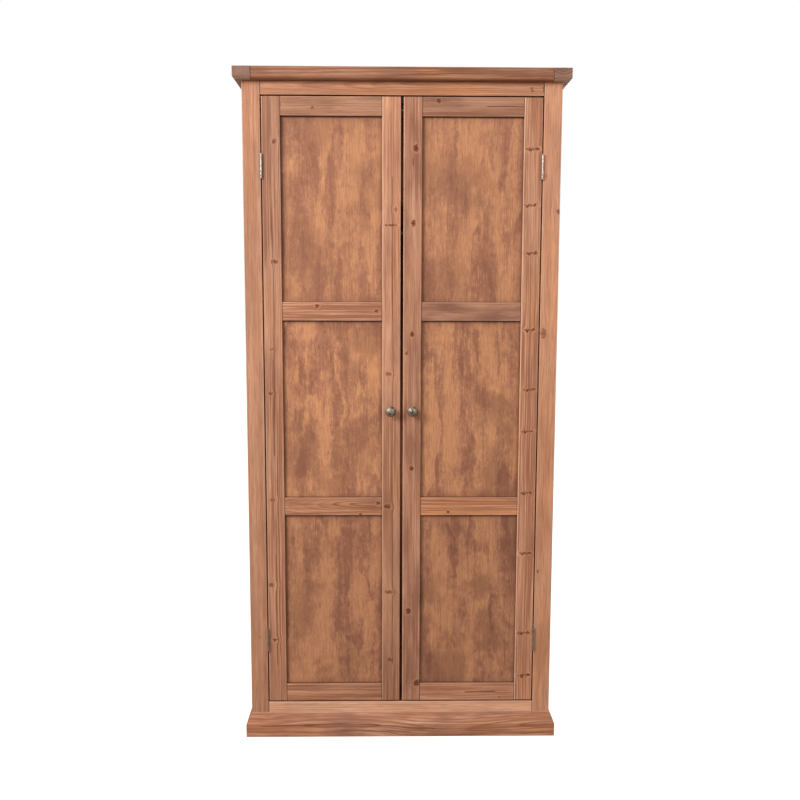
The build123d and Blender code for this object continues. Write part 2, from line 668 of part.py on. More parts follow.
def hinge_leaf(centre, x, own, other, screw_places):
    """One leaf of a right-hand hinge: a plate that spans x, and the knuckles it owns."""
    z = (centre - HINGE_LENGTH / 2, centre + HINGE_LENGTH / 2)
    plate = block(x, (PIN_Y, FRONT_Y + HINGE_LEAF_REACH), z)
    back_corners = plate.edges().filter_by(Axis.X).group_by(Axis.Y)[-1]
    leaf = fillet(back_corners, HINGE_LEAF_CORNER)
    for index in other:
        low, high = knuckle_z(centre, index)
        room_y = (PIN_Y, PIN_Y + KNUCKLE_RADIUS + KNUCKLE_GAP)
        leaf -= block(x, room_y, (low - KNUCKLE_GAP, high + KNUCKLE_GAP))
    for index in own:
        leaf += knuckle(KNUCKLE_RADIUS, knuckle_z(centre, index))
    leaf -= knuckle(PIN_RADIUS + RUNNING_FIT, z)
    for hole in placed(screw_places, screw_hole()):
        leaf -= hole
    return leaf


def hinge_pin(centre):
    """The pin of a right-hand hinge, with domed ends that stand a little out of the knuckles."""
    z = (centre - HINGE_LENGTH / 2 - PIN_END, centre + HINGE_LENGTH / 2 + PIN_END)
    pin = knuckle(PIN_RADIUS, z)
    ends = pin.edges().filter_by(GeomType.CIRCLE)
    return fillet(ends, PIN_END)


def between(low, high, share):
    """A point part of the way from one (radius, reach) point of the knob's outline to another."""
    return (low[0] + share[0] * (high[0] - low[0]), low[1] + share[1] * (high[1] - low[1]))


def knob():
    """The right-hand knob: a foot, a slim neck and a domed head, turned about its screw."""
    foot = (KNOB_FOOT_RADIUS, KNOB_FOOT_HEIGHT)
    neck = (KNOB_NECK_RADIUS, KNOB_NECK_REACH)
    rim = (KNOB_RADIUS, KNOB_RIM_REACH)
    brim = (KNOB_RADIUS, KNOB_RIM_REACH + KNOB_RIM_BAND)
    tip = (0, KNOB_PROJECTION)
    outline = [
        Polyline(tip, (0, 0), (KNOB_FOOT_RADIUS, 0), foot),
        ThreePointArc(foot, between(foot, neck, (0.75, 0.35)), neck),
        ThreePointArc(neck, between(neck, rim, (0.28, 0.68)), rim),
        Line(rim, brim),
        TangentArc(tip, brim, tangent=(1, 0)),
    ]
    body = revolve(Plane.XZ * make_face(outline), Axis.Z)
    thread = Cylinder(
        KNOB_SCREW_RADIUS + KNOB_THREAD_FIT,
        KNOB_SCREW_GRIP + MORTISE_PLAY,
        align=(Align.CENTER, Align.CENTER, Align.MIN),
    )
    return Pos(KNOB_X, FRONT_Y, KNOB_HEIGHT) * Rot(90, 0, 0) * (body - thread)


def knob_bar(radius, y):
    """A round bar along Y on the right-hand knob's axis."""
    return Pos(KNOB_X, (y[0] + y[1]) / 2, KNOB_HEIGHT) * Rot(90, 0, 0) * Cylinder(radius, y[1] - y[0])


def knob_screw():
    """The machine screw that holds the right-hand knob from inside the door."""
    head = knob_bar(KNOB_SCREW_HEAD_RADIUS, (DOOR_Y[1], DOOR_Y[1] + KNOB_SCREW_HEAD))
    head = fillet(head.edges().filter_by(GeomType.CIRCLE).sort_by(Axis.Y)[-1], KNOB_SCREW_HEAD / 2)
    slot_y = DOOR_Y[1] + KNOB_SCREW_HEAD
    slot = Pos(KNOB_X, slot_y, KNOB_HEIGHT) * Box(2 * KNOB_SCREW_HEAD_RADIUS, KNOB_SCREW_HEAD, 2 * SCREW_SLOT)
    shank = knob_bar(KNOB_SCREW_RADIUS, (FRONT_Y - KNOB_SCREW_GRIP, DOOR_Y[1] + SCREW_SLOT))
    return head - slot + shank


def door_stile_groove(edge_x, into):
    """The groove down a door stile, from the bottom rail's tenon to the top rail's."""
    x = sorted((edge_x, edge_x + into * GROOVE_DEPTH))
    z = (DOOR_Z[0] + GROOVE_SHOULDER - FIT, DOOR_Z[1] - GROOVE_SHOULDER + FIT)
    return block(x, groove_across(DOOR_MIDDLE_Y), z)


def hinge_stile():
    """The right-hand door's stile on its hinge side."""
    stile = board((DOOR_OPENING_X[1], DOOR_X[1]), DOOR_Y, DOOR_Z)
    stile -= door_stile_groove(DOOR_OPENING_X[1], 1)
    for hole in placed(door_leaf_screw_places(), screw_hole()):
        stile -= hole
    return stile


def lock_stile():
    """The right-hand door's stile on its meeting side, which carries the knob."""
    stile = board((DOOR_X[0], DOOR_OPENING_X[0]), DOOR_Y, DOOR_Z)
    stile -= door_stile_groove(DOOR_OPENING_X[0], -1)
    stile -= knob_bar(KNOB_SCREW_RADIUS + KNOB_HOLE_FIT, DOOR_Y)
    return stile - strike_screw_place() * screw_hole()


def door_rail(index):
    """A rail of the right-hand door, counted from the bottom, grooved where it meets a panel."""
    low = DOOR_Z[0] + index * DOOR_RAIL_PITCH
    high = low + DOOR_RAIL_HEIGHT
    length = DOOR_OPENING_X[1] - DOOR_OPENING_X[0]
    place = Pos(sum(DOOR_OPENING_X) / 2, DOOR_MIDDLE_Y, (low + high) / 2)
    shoulders = (GROOVE_SHOULDER, GROOVE_SHOULDER)
    reach = GROOVE_DEPTH - STUB_TENON_PLAY
    piece = place * rail(length, DOOR_THICKNESS, DOOR_RAIL_HEIGHT, reach, PANEL_THICKNESS, shoulders)
    groove_y = groove_across(DOOR_MIDDLE_Y)
    if index > 0:
        piece -= block(DOOR_OPENING_X, groove_y, (low, low + GROOVE_DEPTH))
    if index < len(DOOR_PANELS):
        piece -= block(DOOR_OPENING_X, groove_y, (high - GROOVE_DEPTH, high))
    return piece


def door_panel(index):
    """A plywood panel of the right-hand door, counted from the bottom."""
    low = DOOR_Z[0] + DOOR_RAIL_HEIGHT + index * DOOR_RAIL_PITCH
    reach = GROOVE_DEPTH - PANEL_PLAY
    x = (DOOR_OPENING_X[0] - reach, DOOR_OPENING_X[1] + reach)
    return block(x, panel_across(DOOR_MIDDLE_Y), panel_z((low, low + DOOR_PANEL_HEIGHT)))


def make_carcass():
    """All that stands still, apart from the hinges."""
    top_panel, top_end = top_boards()
    nodes["top_panel"] = top_panel
    add_pair("top_end", top_end)
    add_pair("front_post", front_post())
    add_pair("back_post", back_post())
    for name, z in (("top", FRONT_TOP_RAIL_Z), ("bottom", FRONT_BOTTOM_RAIL_Z)):
        settings = front_rail_settings(z)
        nodes[f"front_{name}_rail"] = carcass_rail(settings, FRONT_RAIL_THICKNESS, FRONT_SHOULDERS)
    for name, z in (("top", FRAME_TOP_RAIL_Z), ("bottom", FRAME_BOTTOM_RAIL_Z)):
        add_pair(f"side_{name}_rail", side_rail(z))
        nodes[f"back_{name}_rail"] = back_rail(z)
    add_pair("side_panel", side_panel())
    nodes["back_panel"] = back_panel()
    nodes["floor_panel"] = floor_panel()
    nodes["floor_cleats"] = Compound(both_sides([floor_cleat()]))
    nodes["plinth_front"] = plinth_front()
    add_pair("plinth", plinth_side())
    nodes["hat_shelf"] = hat_shelf()
    nodes["shelf_cleats"] = Compound(both_sides([shelf_cleat()]))
    nodes["hanging_rail"] = hanging_rail()
    nodes["rail_sockets"] = Compound(both_sides([rail_socket()]))
    nodes["door_stop"] = door_stop()
    nodes["magnetic_catch"] = magnetic_catch()


def make_hinges():
    """The frame and door leaves, the pins, and every wood screw."""
    door_knuckles = range(1, HINGE_KNUCKLES, 2)
    frame_knuckles = range(0, HINGE_KNUCKLES, 2)
    frame_leaf_x = (POST_INSIDE_X - HINGE_LEAF, POST_INSIDE_X)
    door_leaf_x = (DOOR_X[1], DOOR_X[1] + HINGE_LEAF)
    frame_leaves = []
    door_leaves = []
    for centre in HINGE_CENTRES_Z:
        frame_leaves.append(
            hinge_leaf(centre, frame_leaf_x, frame_knuckles, door_knuckles, frame_leaf_screw_places())
        )
        door_leaves.append(
            hinge_leaf(centre, door_leaf_x, door_knuckles, frame_knuckles, door_leaf_screw_places())
        )
    nodes["hinge_frame_leaves"] = Compound(both_sides(frame_leaves))
    nodes["hinge_pins"] = Compound(both_sides([hinge_pin(centre) for centre in HINGE_CENTRES_Z]))
    add_door_group("hinge_leaves", door_leaves)
    carcass_places = frame_leaf_screw_places() + socket_screw_places() + [catch_screw_place()]
    nodes["carcass_screws"] = Compound(both_sides(placed(carcass_places, screw())))
    door_places = door_leaf_screw_places() + [strike_screw_place()]
    add_door_group("screws", placed(door_places, screw()))


def make_doors():
    """The wood, plywood and metal of both doors, apart from their hinges."""
    add_door_piece("hinge_stile", hinge_stile())
    add_door_piece("lock_stile", lock_stile())
    for index, name in enumerate(DOOR_RAILS):
        add_door_piece(name + "_rail", door_rail(index))
    for index, name in enumerate(DOOR_PANELS):
        add_door_piece(name + "_panel", door_panel(index))
    add_door_piece("knob", knob())
    add_door_piece("knob_screw", knob_screw())
    add_door_piece("strike_plate", strike_plate())


make_carcass()
make_hinges()
make_doors()
os.makedirs("parts", exist_ok=True)
for name, shape in nodes.items():
    export_step(shape, f"parts/{name}.step")
print(f"{len(nodes)} nodes; front face at y = {FRONT_Y}, back at y = {BACK_Y}")
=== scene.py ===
import json
import math
import random
from dataclasses import dataclass
from typing import NamedTuple

import bpy
from mathutils import Euler, Matrix, Vector


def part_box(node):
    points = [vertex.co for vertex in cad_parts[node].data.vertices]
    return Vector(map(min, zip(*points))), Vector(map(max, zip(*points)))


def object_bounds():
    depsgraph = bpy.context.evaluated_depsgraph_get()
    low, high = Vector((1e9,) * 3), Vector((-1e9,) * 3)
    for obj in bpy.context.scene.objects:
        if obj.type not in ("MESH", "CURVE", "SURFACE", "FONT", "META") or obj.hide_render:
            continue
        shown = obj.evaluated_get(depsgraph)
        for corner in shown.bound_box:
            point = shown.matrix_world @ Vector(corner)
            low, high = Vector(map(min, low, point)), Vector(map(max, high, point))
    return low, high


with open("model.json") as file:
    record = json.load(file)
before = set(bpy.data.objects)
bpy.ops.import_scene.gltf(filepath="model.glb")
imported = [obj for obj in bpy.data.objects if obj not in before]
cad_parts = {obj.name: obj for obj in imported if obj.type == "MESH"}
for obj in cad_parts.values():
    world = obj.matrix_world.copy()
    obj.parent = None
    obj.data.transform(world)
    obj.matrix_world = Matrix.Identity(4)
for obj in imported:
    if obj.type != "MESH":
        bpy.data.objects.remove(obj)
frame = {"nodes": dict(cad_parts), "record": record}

# The looks of a stained pine wardrobe: solid boards with their own grain and knots, rotary-cut
# plywood panels, aged pewter knobs and steel hinges, in a plain white studio.
# Metres, in the CAD model's frame: +X to the right, +Y to the back, +Z up.

cad_low, cad_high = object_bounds()
slots = {part["node"]: part["material_slot"] for part in frame["record"]["subparts"]}


# ---------------------------------------------------------------- colours

def srgb(red, green, blue):
    """A screen colour from 0 to 255 as the linear colour that a shader takes."""
    def linear(value):
        share = value / 255
        return share / 12.92 if share <= 0.04045 else ((share + 0.055) / 1.055) ** 2.4
    return (linear(red), linear(green), linear(blue), 1.0)


EARLYWOOD = srgb(211, 157, 126)
LATEWOOD = srgb(146, 92, 66)
PALEWOOD = srgb(207, 163, 135)
HONEY = srgb(213, 146, 100)
UMBER = srgb(158, 111, 92)
END_GRAIN = srgb(158, 122, 106)
KNOT_HEART = srgb(84, 48, 36)
KNOT_RIM = srgb(196, 130, 92)
# A dark colour for cracks and joint lines, also painted on as shade at door gaps and round the door panels.
CRACK_AND_SHADE = srgb(66, 38, 27)
# A pale colour for pale flames and worn arrises, also painted on as a highlight.
PALE_AND_HIGHLIGHT = srgb(228, 182, 154)
# Painted bounce light for the undersides of the top's ends.
UNDERSIDE_BOUNCE_LIGHT = srgb(214, 188, 172)

VENEER_LIGHT = srgb(216, 153, 109)
VENEER = srgb(188, 130, 98)
VENEER_DARK = srgb(151, 98, 75)
# Veneer stain, also painted on as shade round the door panels.
VENEER_STAIN_AND_SHADE = srgb(126, 82, 64)
VENEER_FLECK = srgb(226, 162, 112)

INSIDE_LIGHT = srgb(216, 170, 136)


# ---------------------------------------------------------------- shader fields

class Field:
    """A number, vector or colour that varies over a surface: one output of a shader node."""

    def __init__(self, tree, socket):
        self.tree = tree
        self.socket = socket

    def math(self, operation, *others):
        """One step of arithmetic on this number and the others."""
        node = self.tree.nodes.new("ShaderNodeMath")
        node.operation = operation
        for socket, value in zip(node.inputs, (self, *others)):
            plug(self.tree, value, socket)
        return Field(self.tree, node.outputs[0])

    def __add__(self, other):
        return self.math("ADD", other)

    def __sub__(self, other):
        return self.math("SUBTRACT", other)

    def __mul__(self, other):
        return self.math("MULTIPLY", other)

    def __truediv__(self, other):
        return self.math("DIVIDE", other)

    def times_plus(self, factor, addend):
        """This number times a factor, plus an addend."""
        return self.math("MULTIPLY_ADD", factor, addend)

    def size(self):
        """This number without its sign."""
        return self.math("ABSOLUTE")

    def least(self, other):
        """The smaller of two numbers."""
        return self.math("MINIMUM", other)

    def most(self, other):
        """The larger of two numbers."""
        return self.math("MAXIMUM", other)

    def fading(self, base):
        """The base to the power of this number: 1 at nought, and less further out."""
        node = self.tree.nodes.new("ShaderNodeMath")
        node.operation = "POWER"
        node.inputs[0].default_value = base
        plug(self.tree, self, node.inputs[1])
        return Field(self.tree, node.outputs[0])

    def step(self, start, end, low=0.0, high=1.0):
        """Goes smoothly from low at start to high at end. Start may be above end."""
        node = self.tree.nodes.new("ShaderNodeMapRange")
        node.interpolation_type = "SMOOTHSTEP"
        flipped = start > end
        plug(self.tree, self, node.inputs["Value"])
        node.inputs["From Min"].default_value = end if flipped else start
        node.inputs["From Max"].default_value = start if flipped else end
        node.inputs["To Min"].default_value = high if flipped else low
        node.inputs["To Max"].default_value = low if flipped else high
        return Field(self.tree, node.outputs["Result"])

    def ramp(self, *stops):
        """A number by linear steps through (position, value) stops."""
        node = self.tree.nodes.new("ShaderNodeValToRGB")
        elements = node.color_ramp.elements
        for index, (position, value) in enumerate(stops):
            element = elements[index] if index < 2 else elements.new(position)
            element.position = position
            element.color = (value, value, value, 1.0)
        plug(self.tree, self, node.inputs["Fac"])
        return Field(self.tree, node.outputs["Color"])

    def mixed(self, other, factor, kind="MIX"):
        """This colour mixed with another by a factor."""
        node = self.tree.nodes.new("ShaderNodeMix")
        node.data_type = "RGBA"
        node.blend_type = kind
        plug(self.tree, factor, node.inputs["Factor"])
        plug(self.tree, self, node.inputs["A"])
        plug(self.tree, other, node.inputs["B"])
        return Field(self.tree, node.outputs["Result"])


def plug(tree, value, socket):
    """Links a field to a socket, or sets a plain number or colour on it."""
    if isinstance(value, Field):
        tree.links.new(value.socket, socket)
    else:
        socket.default_value = value


class Surface:
    """A new material, its node tree, and the fields that every material starts from."""

    def __init__(self, name):
        self.material = bpy.data.materials.new(name)
        self.material.use_nodes = True
        self.tree = self.material.node_tree
        self.shader = self.tree.nodes["Principled BSDF"]
        coordinates = self.tree.nodes.new("ShaderNodeTexCoord")
        self.place = Field(self.tree, coordinates.outputs["Object"])
        self.normal = Field(self.tree, coordinates.outputs["Normal"])

    def parts(self, vector):
        """The x, y and z of a vector."""
        node = self.tree.nodes.new("ShaderNodeSeparateXYZ")
        plug(self.tree, vector, node.inputs[0])
        return [Field(self.tree, output) for output in node.outputs]

    def vector(self, x, y, z=0.0):
        """A vector made of three numbers."""
        node = self.tree.nodes.new("ShaderNodeCombineXYZ")
        for socket, value in zip(node.inputs, (x, y, z)):
            plug(self.tree, value, socket)
        return Field(self.tree, node.outputs[0])

    def scaled(self, vector, scale, offset=(0.0, 0.0, 0.0)):
        """A vector times a scale on each axis, plus an offset."""
        node = self.tree.nodes.new("ShaderNodeVectorMath")
        node.operation = "MULTIPLY_ADD"
        plug(self.tree, vector, node.inputs[0])
        node.inputs[1].default_value = scale
        node.inputs[2].default_value = offset
        return Field(self.tree, node.outputs[0])

    def squared(self, vector):
        """The squared length of a vector."""
        node = self.tree.nodes.new("ShaderNodeVectorMath")
        node.operation = "DOT_PRODUCT"
        plug(self.tree, vector, node.inputs[0])
        plug(self.tree, vector, node.inputs[1])
        return Field(self.tree, node.outputs["Value"])

    def noise(self, vector, detail=2.0, roughness=0.5):
        """Smooth noise from 0 to 1, with about one feature to each unit of the vector."""
        node = self.tree.nodes.new("ShaderNodeTexNoise")
        node.inputs["Scale"].default_value = 1.0
        node.inputs["Detail"].default_value = detail
        node.inputs["Roughness"].default_value = roughness
        plug(self.tree, vector, node.inputs["Vector"])
        return Field(self.tree, node.outputs["Fac"])

    def shaken(self, vector, around, reach):
        """A vector moved by up to half the reach each way, by noise around a second vector."""
        noise = self.noise(around, 2.0, 0.6)
        cloud = Field(self.tree, noise.socket.node.outputs["Color"])
        centred = self.scaled(cloud, (reach,) * 3, (-reach / 2,) * 3)
        node = self.tree.nodes.new("ShaderNodeVectorMath")
        plug(self.tree, vector, node.inputs[0])
        plug(self.tree, centred, node.inputs[1])
        return Field(self.tree, node.outputs[0])

    def colour(self, rgba):
        """A plain colour to start a mix from."""
        node = self.tree.nodes.new("ShaderNodeRGB")
        node.outputs[0].default_value = rgba
        return Field(self.tree, node.outputs[0])

    def finish(self, colour, roughness, height, relief, **constants):
        """Plugs the fields into the shader. Relief is the bump's full height in metres."""
        bump = self.tree.nodes.new("ShaderNodeBump")
        bump.inputs["Strength"].default_value = 1.0
        bump.inputs["Distance"].default_value = relief
        plug(self.tree, height, bump.inputs["Height"])
        self.tree.links.new(bump.outputs["Normal"], self.shader.inputs["Normal"])
        plug(self.tree, colour, self.shader.inputs["Base Color"])
        plug(self.tree, roughness, self.shader.inputs["Roughness"])
        for name, value in constants.items():
            self.shader.inputs[name.replace("_", " ")].default_value = value
        return self.material


# ---------------------------------------------------------------- layers of noise

class Layer(NamedTuple):
    """Noise with so many features in a metre along the grain, across it and through the board."""
    features: tuple
    detail: float = 2.0
    roughness: float = 0.5


# Pine, from the slow bend of the grain to the pores.
BEND = Layer((2.2, 9.0, 9.0), 1.0)
RIPPLE = Layer((7.0, 45.0, 45.0))
FLAMES = Layer((3.2, 105.0, 60.0), 4.0, 0.62)
SEAMS = Layer((1.1, 130.0, 90.0), 2.0, 0.6)
FIBRES = Layer((18.0, 440.0, 300.0), 2.0, 0.6)
PORES = Layer((70.0, 2300.0, 1700.0), 1.0)
STAIN = Layer((6.5, 24.0, 24.0), 3.0, 0.55)
TINT = Layer((3.0, 34.0, 20.0))
KNOT_EDGES = (120.0, 150.0, 150.0)
KNOT_EDGE_REACH = 0.012
YEAR_CHANGES = 0.31                 # how quickly dark and pale years take turns, year by year

# Rotary-cut veneer: what bends its figure, the figure itself, and the fine layers over it.
RAGS = Layer((16.0, 170.0, 60.0), 4.0, 0.72)
RAG_REACH = 0.045
TEETH = Layer((20.0, 60.0, 20.0))
TOOTH_REACH = 0.03
SWIRL = Layer((22.0, 24.0, 8.0), 4.0, 0.65)
SWIRL_REACH = 0.022
HILLS = Layer((3.2, 9.5, 7.0), 1.0)
CONTOURS = 4.2                      # bands from the lowest place of the hills to the highest
PATCHES = Layer((4.6, 13.0, 9.0), 4.0, 0.56)
COLUMNS = Layer((1.9, 34.0, 9.0))
VEINS = Layer((7.0, 140.0, 40.0), 3.0, 0.6)
MOTTLE = Layer((38.0, 42.0, 20.0), 5.0, 0.72)
STROKES = Layer((50.0, 210.0, 90.0), 3.0, 0.66)
VENEER_FIBRES = Layer((30.0, 440.0, 200.0), 2.0, 0.6)
CLOUDS = Layer((4.2, 6.0, 5.0), 6.0, 0.6)
SPECKS = Layer((120.0, 260.0, 200.0), 3.0, 0.7)
VENEER_PORES = Layer((150.0, 2200.0, 900.0), 1.0)

# Where dark lines, painted shade, and edges paled by wear and a painted highlight reach to, in metres from an
# edge.
ARRIS_WEAR_AND_HIGHLIGHT = (0.0036, 0.0004)
JOINT_LINE = (0.003, 0.0005)
PANEL_SHADOW = (0.022, 0.0)
PANEL_SHADE_LINE = (0.0034, 0.0006)

PINE_RELIEF = 0.00022
VENEER_RELIEF = 0.00016
SATIN = {"Specular_IOR_Level": 0.28, "Coat_Weight": 0.03, "Coat_Roughness": 0.4}


def layered(surface, layer, places, seed):
    """A layer of noise at a board's places, from the board's own origin in the noise."""
    return surface.noise(seeded(surface, places, layer.features, seed), layer.detail, layer.roughness)


# ---------------------------------------------------------------- pine boards

class Knot(NamedTuple):
    """A knot at shares of the board's length and width. Stretch above 1 is wider across the grain."""
    along: float
    across: float
    radius: float = 0.006
    stretch: float = 1.0
    dark: float = 0.85


class Streak(NamedTuple):
    """A dark line along the grain, from start to end as shares of the board's length."""
    across: float
    start: float = 0.0
    end: float = 1.0
    width: float = 0.0012
    dark: float = 0.6


@dataclass
class Figure:
    """How one board was cut from the tree, and how it took the stain."""
    pith: tuple = (0.09, -0.04)     # the tree's middle, from the board's, across and in depth
    lean: tuple = (0.0, 0.0)        # how far the pith wanders across and in depth, per metre
    ring: float = 0.0062            # width of a year ring
    contrast: float = 0.42          # how dark the latewood is
    wander: float = 0.012           # slow waviness of the grain
    ripple: float = 0.0016          # quick waviness of the grain
    honey: float = 0.2              # orange in the stain
    umber: float = 0.12             # grey-brown in the stain
    light: tuple = EARLYWOOD        # the stained earlywood
    shade: float = 1.0              # above 1 is lighter
    fade: float = 0.0               # how much lighter the top or right end is
    flame: float = 0.5              # strength of soft streaks along the grain
    thread: float = 0.75            # strength of thin dark lines along the grain
    worn_and_lit: tuple = (0.3, 0.3)        # how pale the two long edges are, the lower x or z first: wear, and a painted highlight on the edge that faces the key light
    knots: tuple = ()
    streaks: tuple = ()


def whorl(along, across=0.5):
    """A ring of branches that a board was cut through: a thin band across it with small knots."""
    return (
        Knot(along, across, 0.0026, 7.5, 0.5),
        Knot(along - 0.0015, across - 0.14, 0.0032, 1.4, 0.85),
        Knot(along + 0.0012, across + 0.24, 0.0026, 1.8, 0.8),
    )


def board_axes(node, grain=None):
    """The letters of a board's axes: along the grain, across it, and through its thickness."""
    low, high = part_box(node)
    by_size = sorted("xyz", key=lambda axis: getattr(high - low, axis))
    along = grain or by_size[-1]
    across, depth = [axis for axis in reversed(by_size) if axis != along]
    return along, across, depth


def board_fields(surface, node, grain=None):
    """Place along, across and through a board, from its middle, its half sizes, and its normal."""
    low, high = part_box(node)
    letters = board_axes(node, grain)
    whole = dict(zip("xyz", surface.parts(surface.place)))
    facing = dict(zip("xyz", surface.parts(surface.normal)))
    middle = (low + high) / 2
    places = [whole[letter] - getattr(middle, letter) for letter in letters]
    halves = [getattr(high - low, letter) / 2 for letter in letters]
    facings = [facing[letter] for letter in letters]
    return places, halves, facings


def seed_of(node):
    """A far-away place in the noise for each board."""
    chance = random.Random(node)
    return [chance.uniform(-40, 40) for _ in range(3)]


def seeded(surface, places, scales, seed):
    """A vector into the noise: the board's place, scaled on each axis, from its own origin."""
    return surface.scaled(surface.vector(*places), scales, seed)


# How dark a knot is from its middle to its rim, by the squared share of its radius.
KNOT_RINGS = ((0.0, 1.0), (0.22, 0.75), (0.42, 0.6), (0.62, 1.0), (0.85, 0.8), (1.0, 0.0))
KNOT_SQUATNESS = 0.8                # below 1, a knot is longer along the grain than its radius
KNOT_RIM_SPAN = (4.0, 1.0)          # where the rim starts and is full, by the squared share too
HEART_STRENGTH = 1.3
RIM_STRENGTH = 0.7
GRAIN_PUSH = 0.65                   # how far a knot pushes the grain aside
PUSH_FADE = 0.72                    # how slowly that fades with distance


def knot_fields(surface, spot, across, figure, halves):
    """Where knots are, and the place across the board after the grain has flowed round them."""
    hearts = None
    rims = None
    for knot in figure.knots:
        along_at = (2 * knot.along - 1) * halves[0]
        across_at = (2 * knot.across - 1) * halves[1]
        scale = (KNOT_SQUATNESS / knot.radius, 1 / (knot.radius * knot.stretch), 0.0)
        offset = (-along_at * scale[0], -across_at * scale[1], 0.0)
        distance = surface.squared(surface.scaled(spot, scale, offset))
        push = distance.fading(PUSH_FADE)
        across = across - (across - across_at) * push * GRAIN_PUSH
        heart = distance.ramp(*KNOT_RINGS)
        heart = heart * min(1.0, knot.dark * HEART_STRENGTH)
        rim = distance.step(*KNOT_RIM_SPAN, 0.0, knot.dark * RIM_STRENGTH)
        hearts = heart if hearts is None else hearts.most(heart)
        rims = rim if rims is None else rims.most(rim)
    return hearts, rims, across


STREAK_FADE = 0.012                 # metres over which a streak's ends fade
STREAK_CORE = 0.2                   # the share of its width at which it is darkest


def streak_field(surface, along, across, figure, halves):
    """Dark lines along the grain, or None."""
    lines = None
    for streak in figure.streaks:
        start = (2 * streak.start - 1) * halves[0]
        end = (2 * streak.end - 1) * halves[0]
        off = (across - (2 * streak.across - 1) * halves[1]).size()
        line = off.step(streak.width, streak.width * STREAK_CORE, 0.0, streak.dark)
        line = line * along.step(start, start + STREAK_FADE) * along.step(end, end - STREAK_FADE)
        lines = line if lines is None else lines.most(line)
    return lines


def shoulder_of(node):
    """The upright that a front rail is tenoned into, and stops against, or None."""
    if node == "top_panel":
        return "top_end_right"
    if node.startswith("front_") and node.endswith("_rail"):
        return "front_post_right"
    if "_door_" in node and node.endswith("_rail"):
        return node.split("_door_")[0] + "_door_hinge_stile"
    return None


def hidden_tenon(node, upright):
    """The length of a rail's tenon, inside the upright."""
    rail_low, rail_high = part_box(node)
    low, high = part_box(upright)
    return min(rail_high.x - low.x, high.x - rail_low.x)


def shaded_gap_sides(node):
    """The sides of a front board, low -1 and high 1, that face the gap round a door, which are painted dark
    as shade.
    """
    if "_door_" in node:
        return (-1, 1)
    return {
        "front_post_left": (1,), "front_post_right": (-1,), "front_top_rail": (-1,), "front_bottom_rail": (1,)
    }.get(node, ())


# How much latewood there is from one year's start to the next.
RING_PROFILE = ((0.0, 0.25), (0.08, 0.0), (0.52, 0.08), (0.78, 0.6), (0.92, 1.0), (1.0, 0.25))
YEAR_SPAN = (0.34, 0.66)
YEAR_STRENGTHS = (0.15, 1.5)        # of the latewood in the palest year and in the darkest


def year_rings(surface, from_pith, ring_width, seed):
    """How much latewood there is, from rings round the pith, with dark years and pale ones."""
    rings = surface.squared(from_pith).math("SQRT") / ring_width
    late = rings.math("FRACT").ramp(*RING_PROFILE)
    year = surface.noise(surface.vector(rings * YEAR_CHANGES, seed[0], seed[1]), 1.0)
    return late * year.step(*YEAR_SPAN, *YEAR_STRENGTHS)


# Where a layer of noise starts to show, and where it shows in full.
HONEY_SPAN = (0.34, 0.7)
UMBER_SPAN = (0.38, 0.72)
DARK_FLAME_SPAN = (0.6, 0.38)
PALE_FLAME_SPAN = (0.52, 0.7)
THREAD_SPAN = (0.075, 0.02)         # off the middle of the seams' noise
THREADED_SPAN = (0.36, 0.5)         # the parts of a board that have threads at all
FIBRE_SPAN = (0.6, 0.3)
# The least and most of a stain, as shares of what the figure says.
HONEY_SHARES = (0.25, 1.9)
UMBER_SHARES = (0.3, 2.2)


def patchy(layer, span, shares, amount):
    """A stain that is thin in some places and thick in others, at most 1."""
    return layer.step(*span, amount * shares[0], min(1.0, amount * shares[1]))


def stained_wood(surface, figure, places, flowed, slow, late, seed):
    """The colour between the knots, with the fibres and the patchy stain that shape it."""
    along, _, depth = places
    along_grain = (along, flowed, depth)
    flames = layered(surface, FLAMES, along_grain, seed)
    seams = layered(surface, SEAMS, along_grain, seed[::-1])
    fibres = layered(surface, FIBRES, along_grain, seed)
    stain = layered(surface, STAIN, places, seed[::-1])
    tint = layered(surface, TINT, places, seed[::-1])

    honey = patchy(tint, HONEY_SPAN, HONEY_SHARES, figure.honey)
    umber = patchy(stain, UMBER_SPAN, UMBER_SHARES, figure.umber)
    colour = surface.colour(figure.light).mixed(HONEY, honey).mixed(UMBER, umber)
    colour = colour.mixed(LATEWOOD, late * figure.contrast)
    colour = colour.mixed(LATEWOOD, flames.step(*DARK_FLAME_SPAN, 0.0, 0.5 * figure.flame))
    thread = (seams - 0.5).size().step(*THREAD_SPAN) * slow.step(*THREADED_SPAN)
    colour = colour.mixed(LATEWOOD, thread * figure.thread)
    colour = colour.mixed(PALE_AND_HIGHLIGHT, flames.step(*PALE_FLAME_SPAN, 0.0, 0.4 * figure.flame))
    colour = colour.mixed(LATEWOOD, fibres.step(*FIBRE_SPAN, 0.0, 0.42))
    return colour, fibres, stain


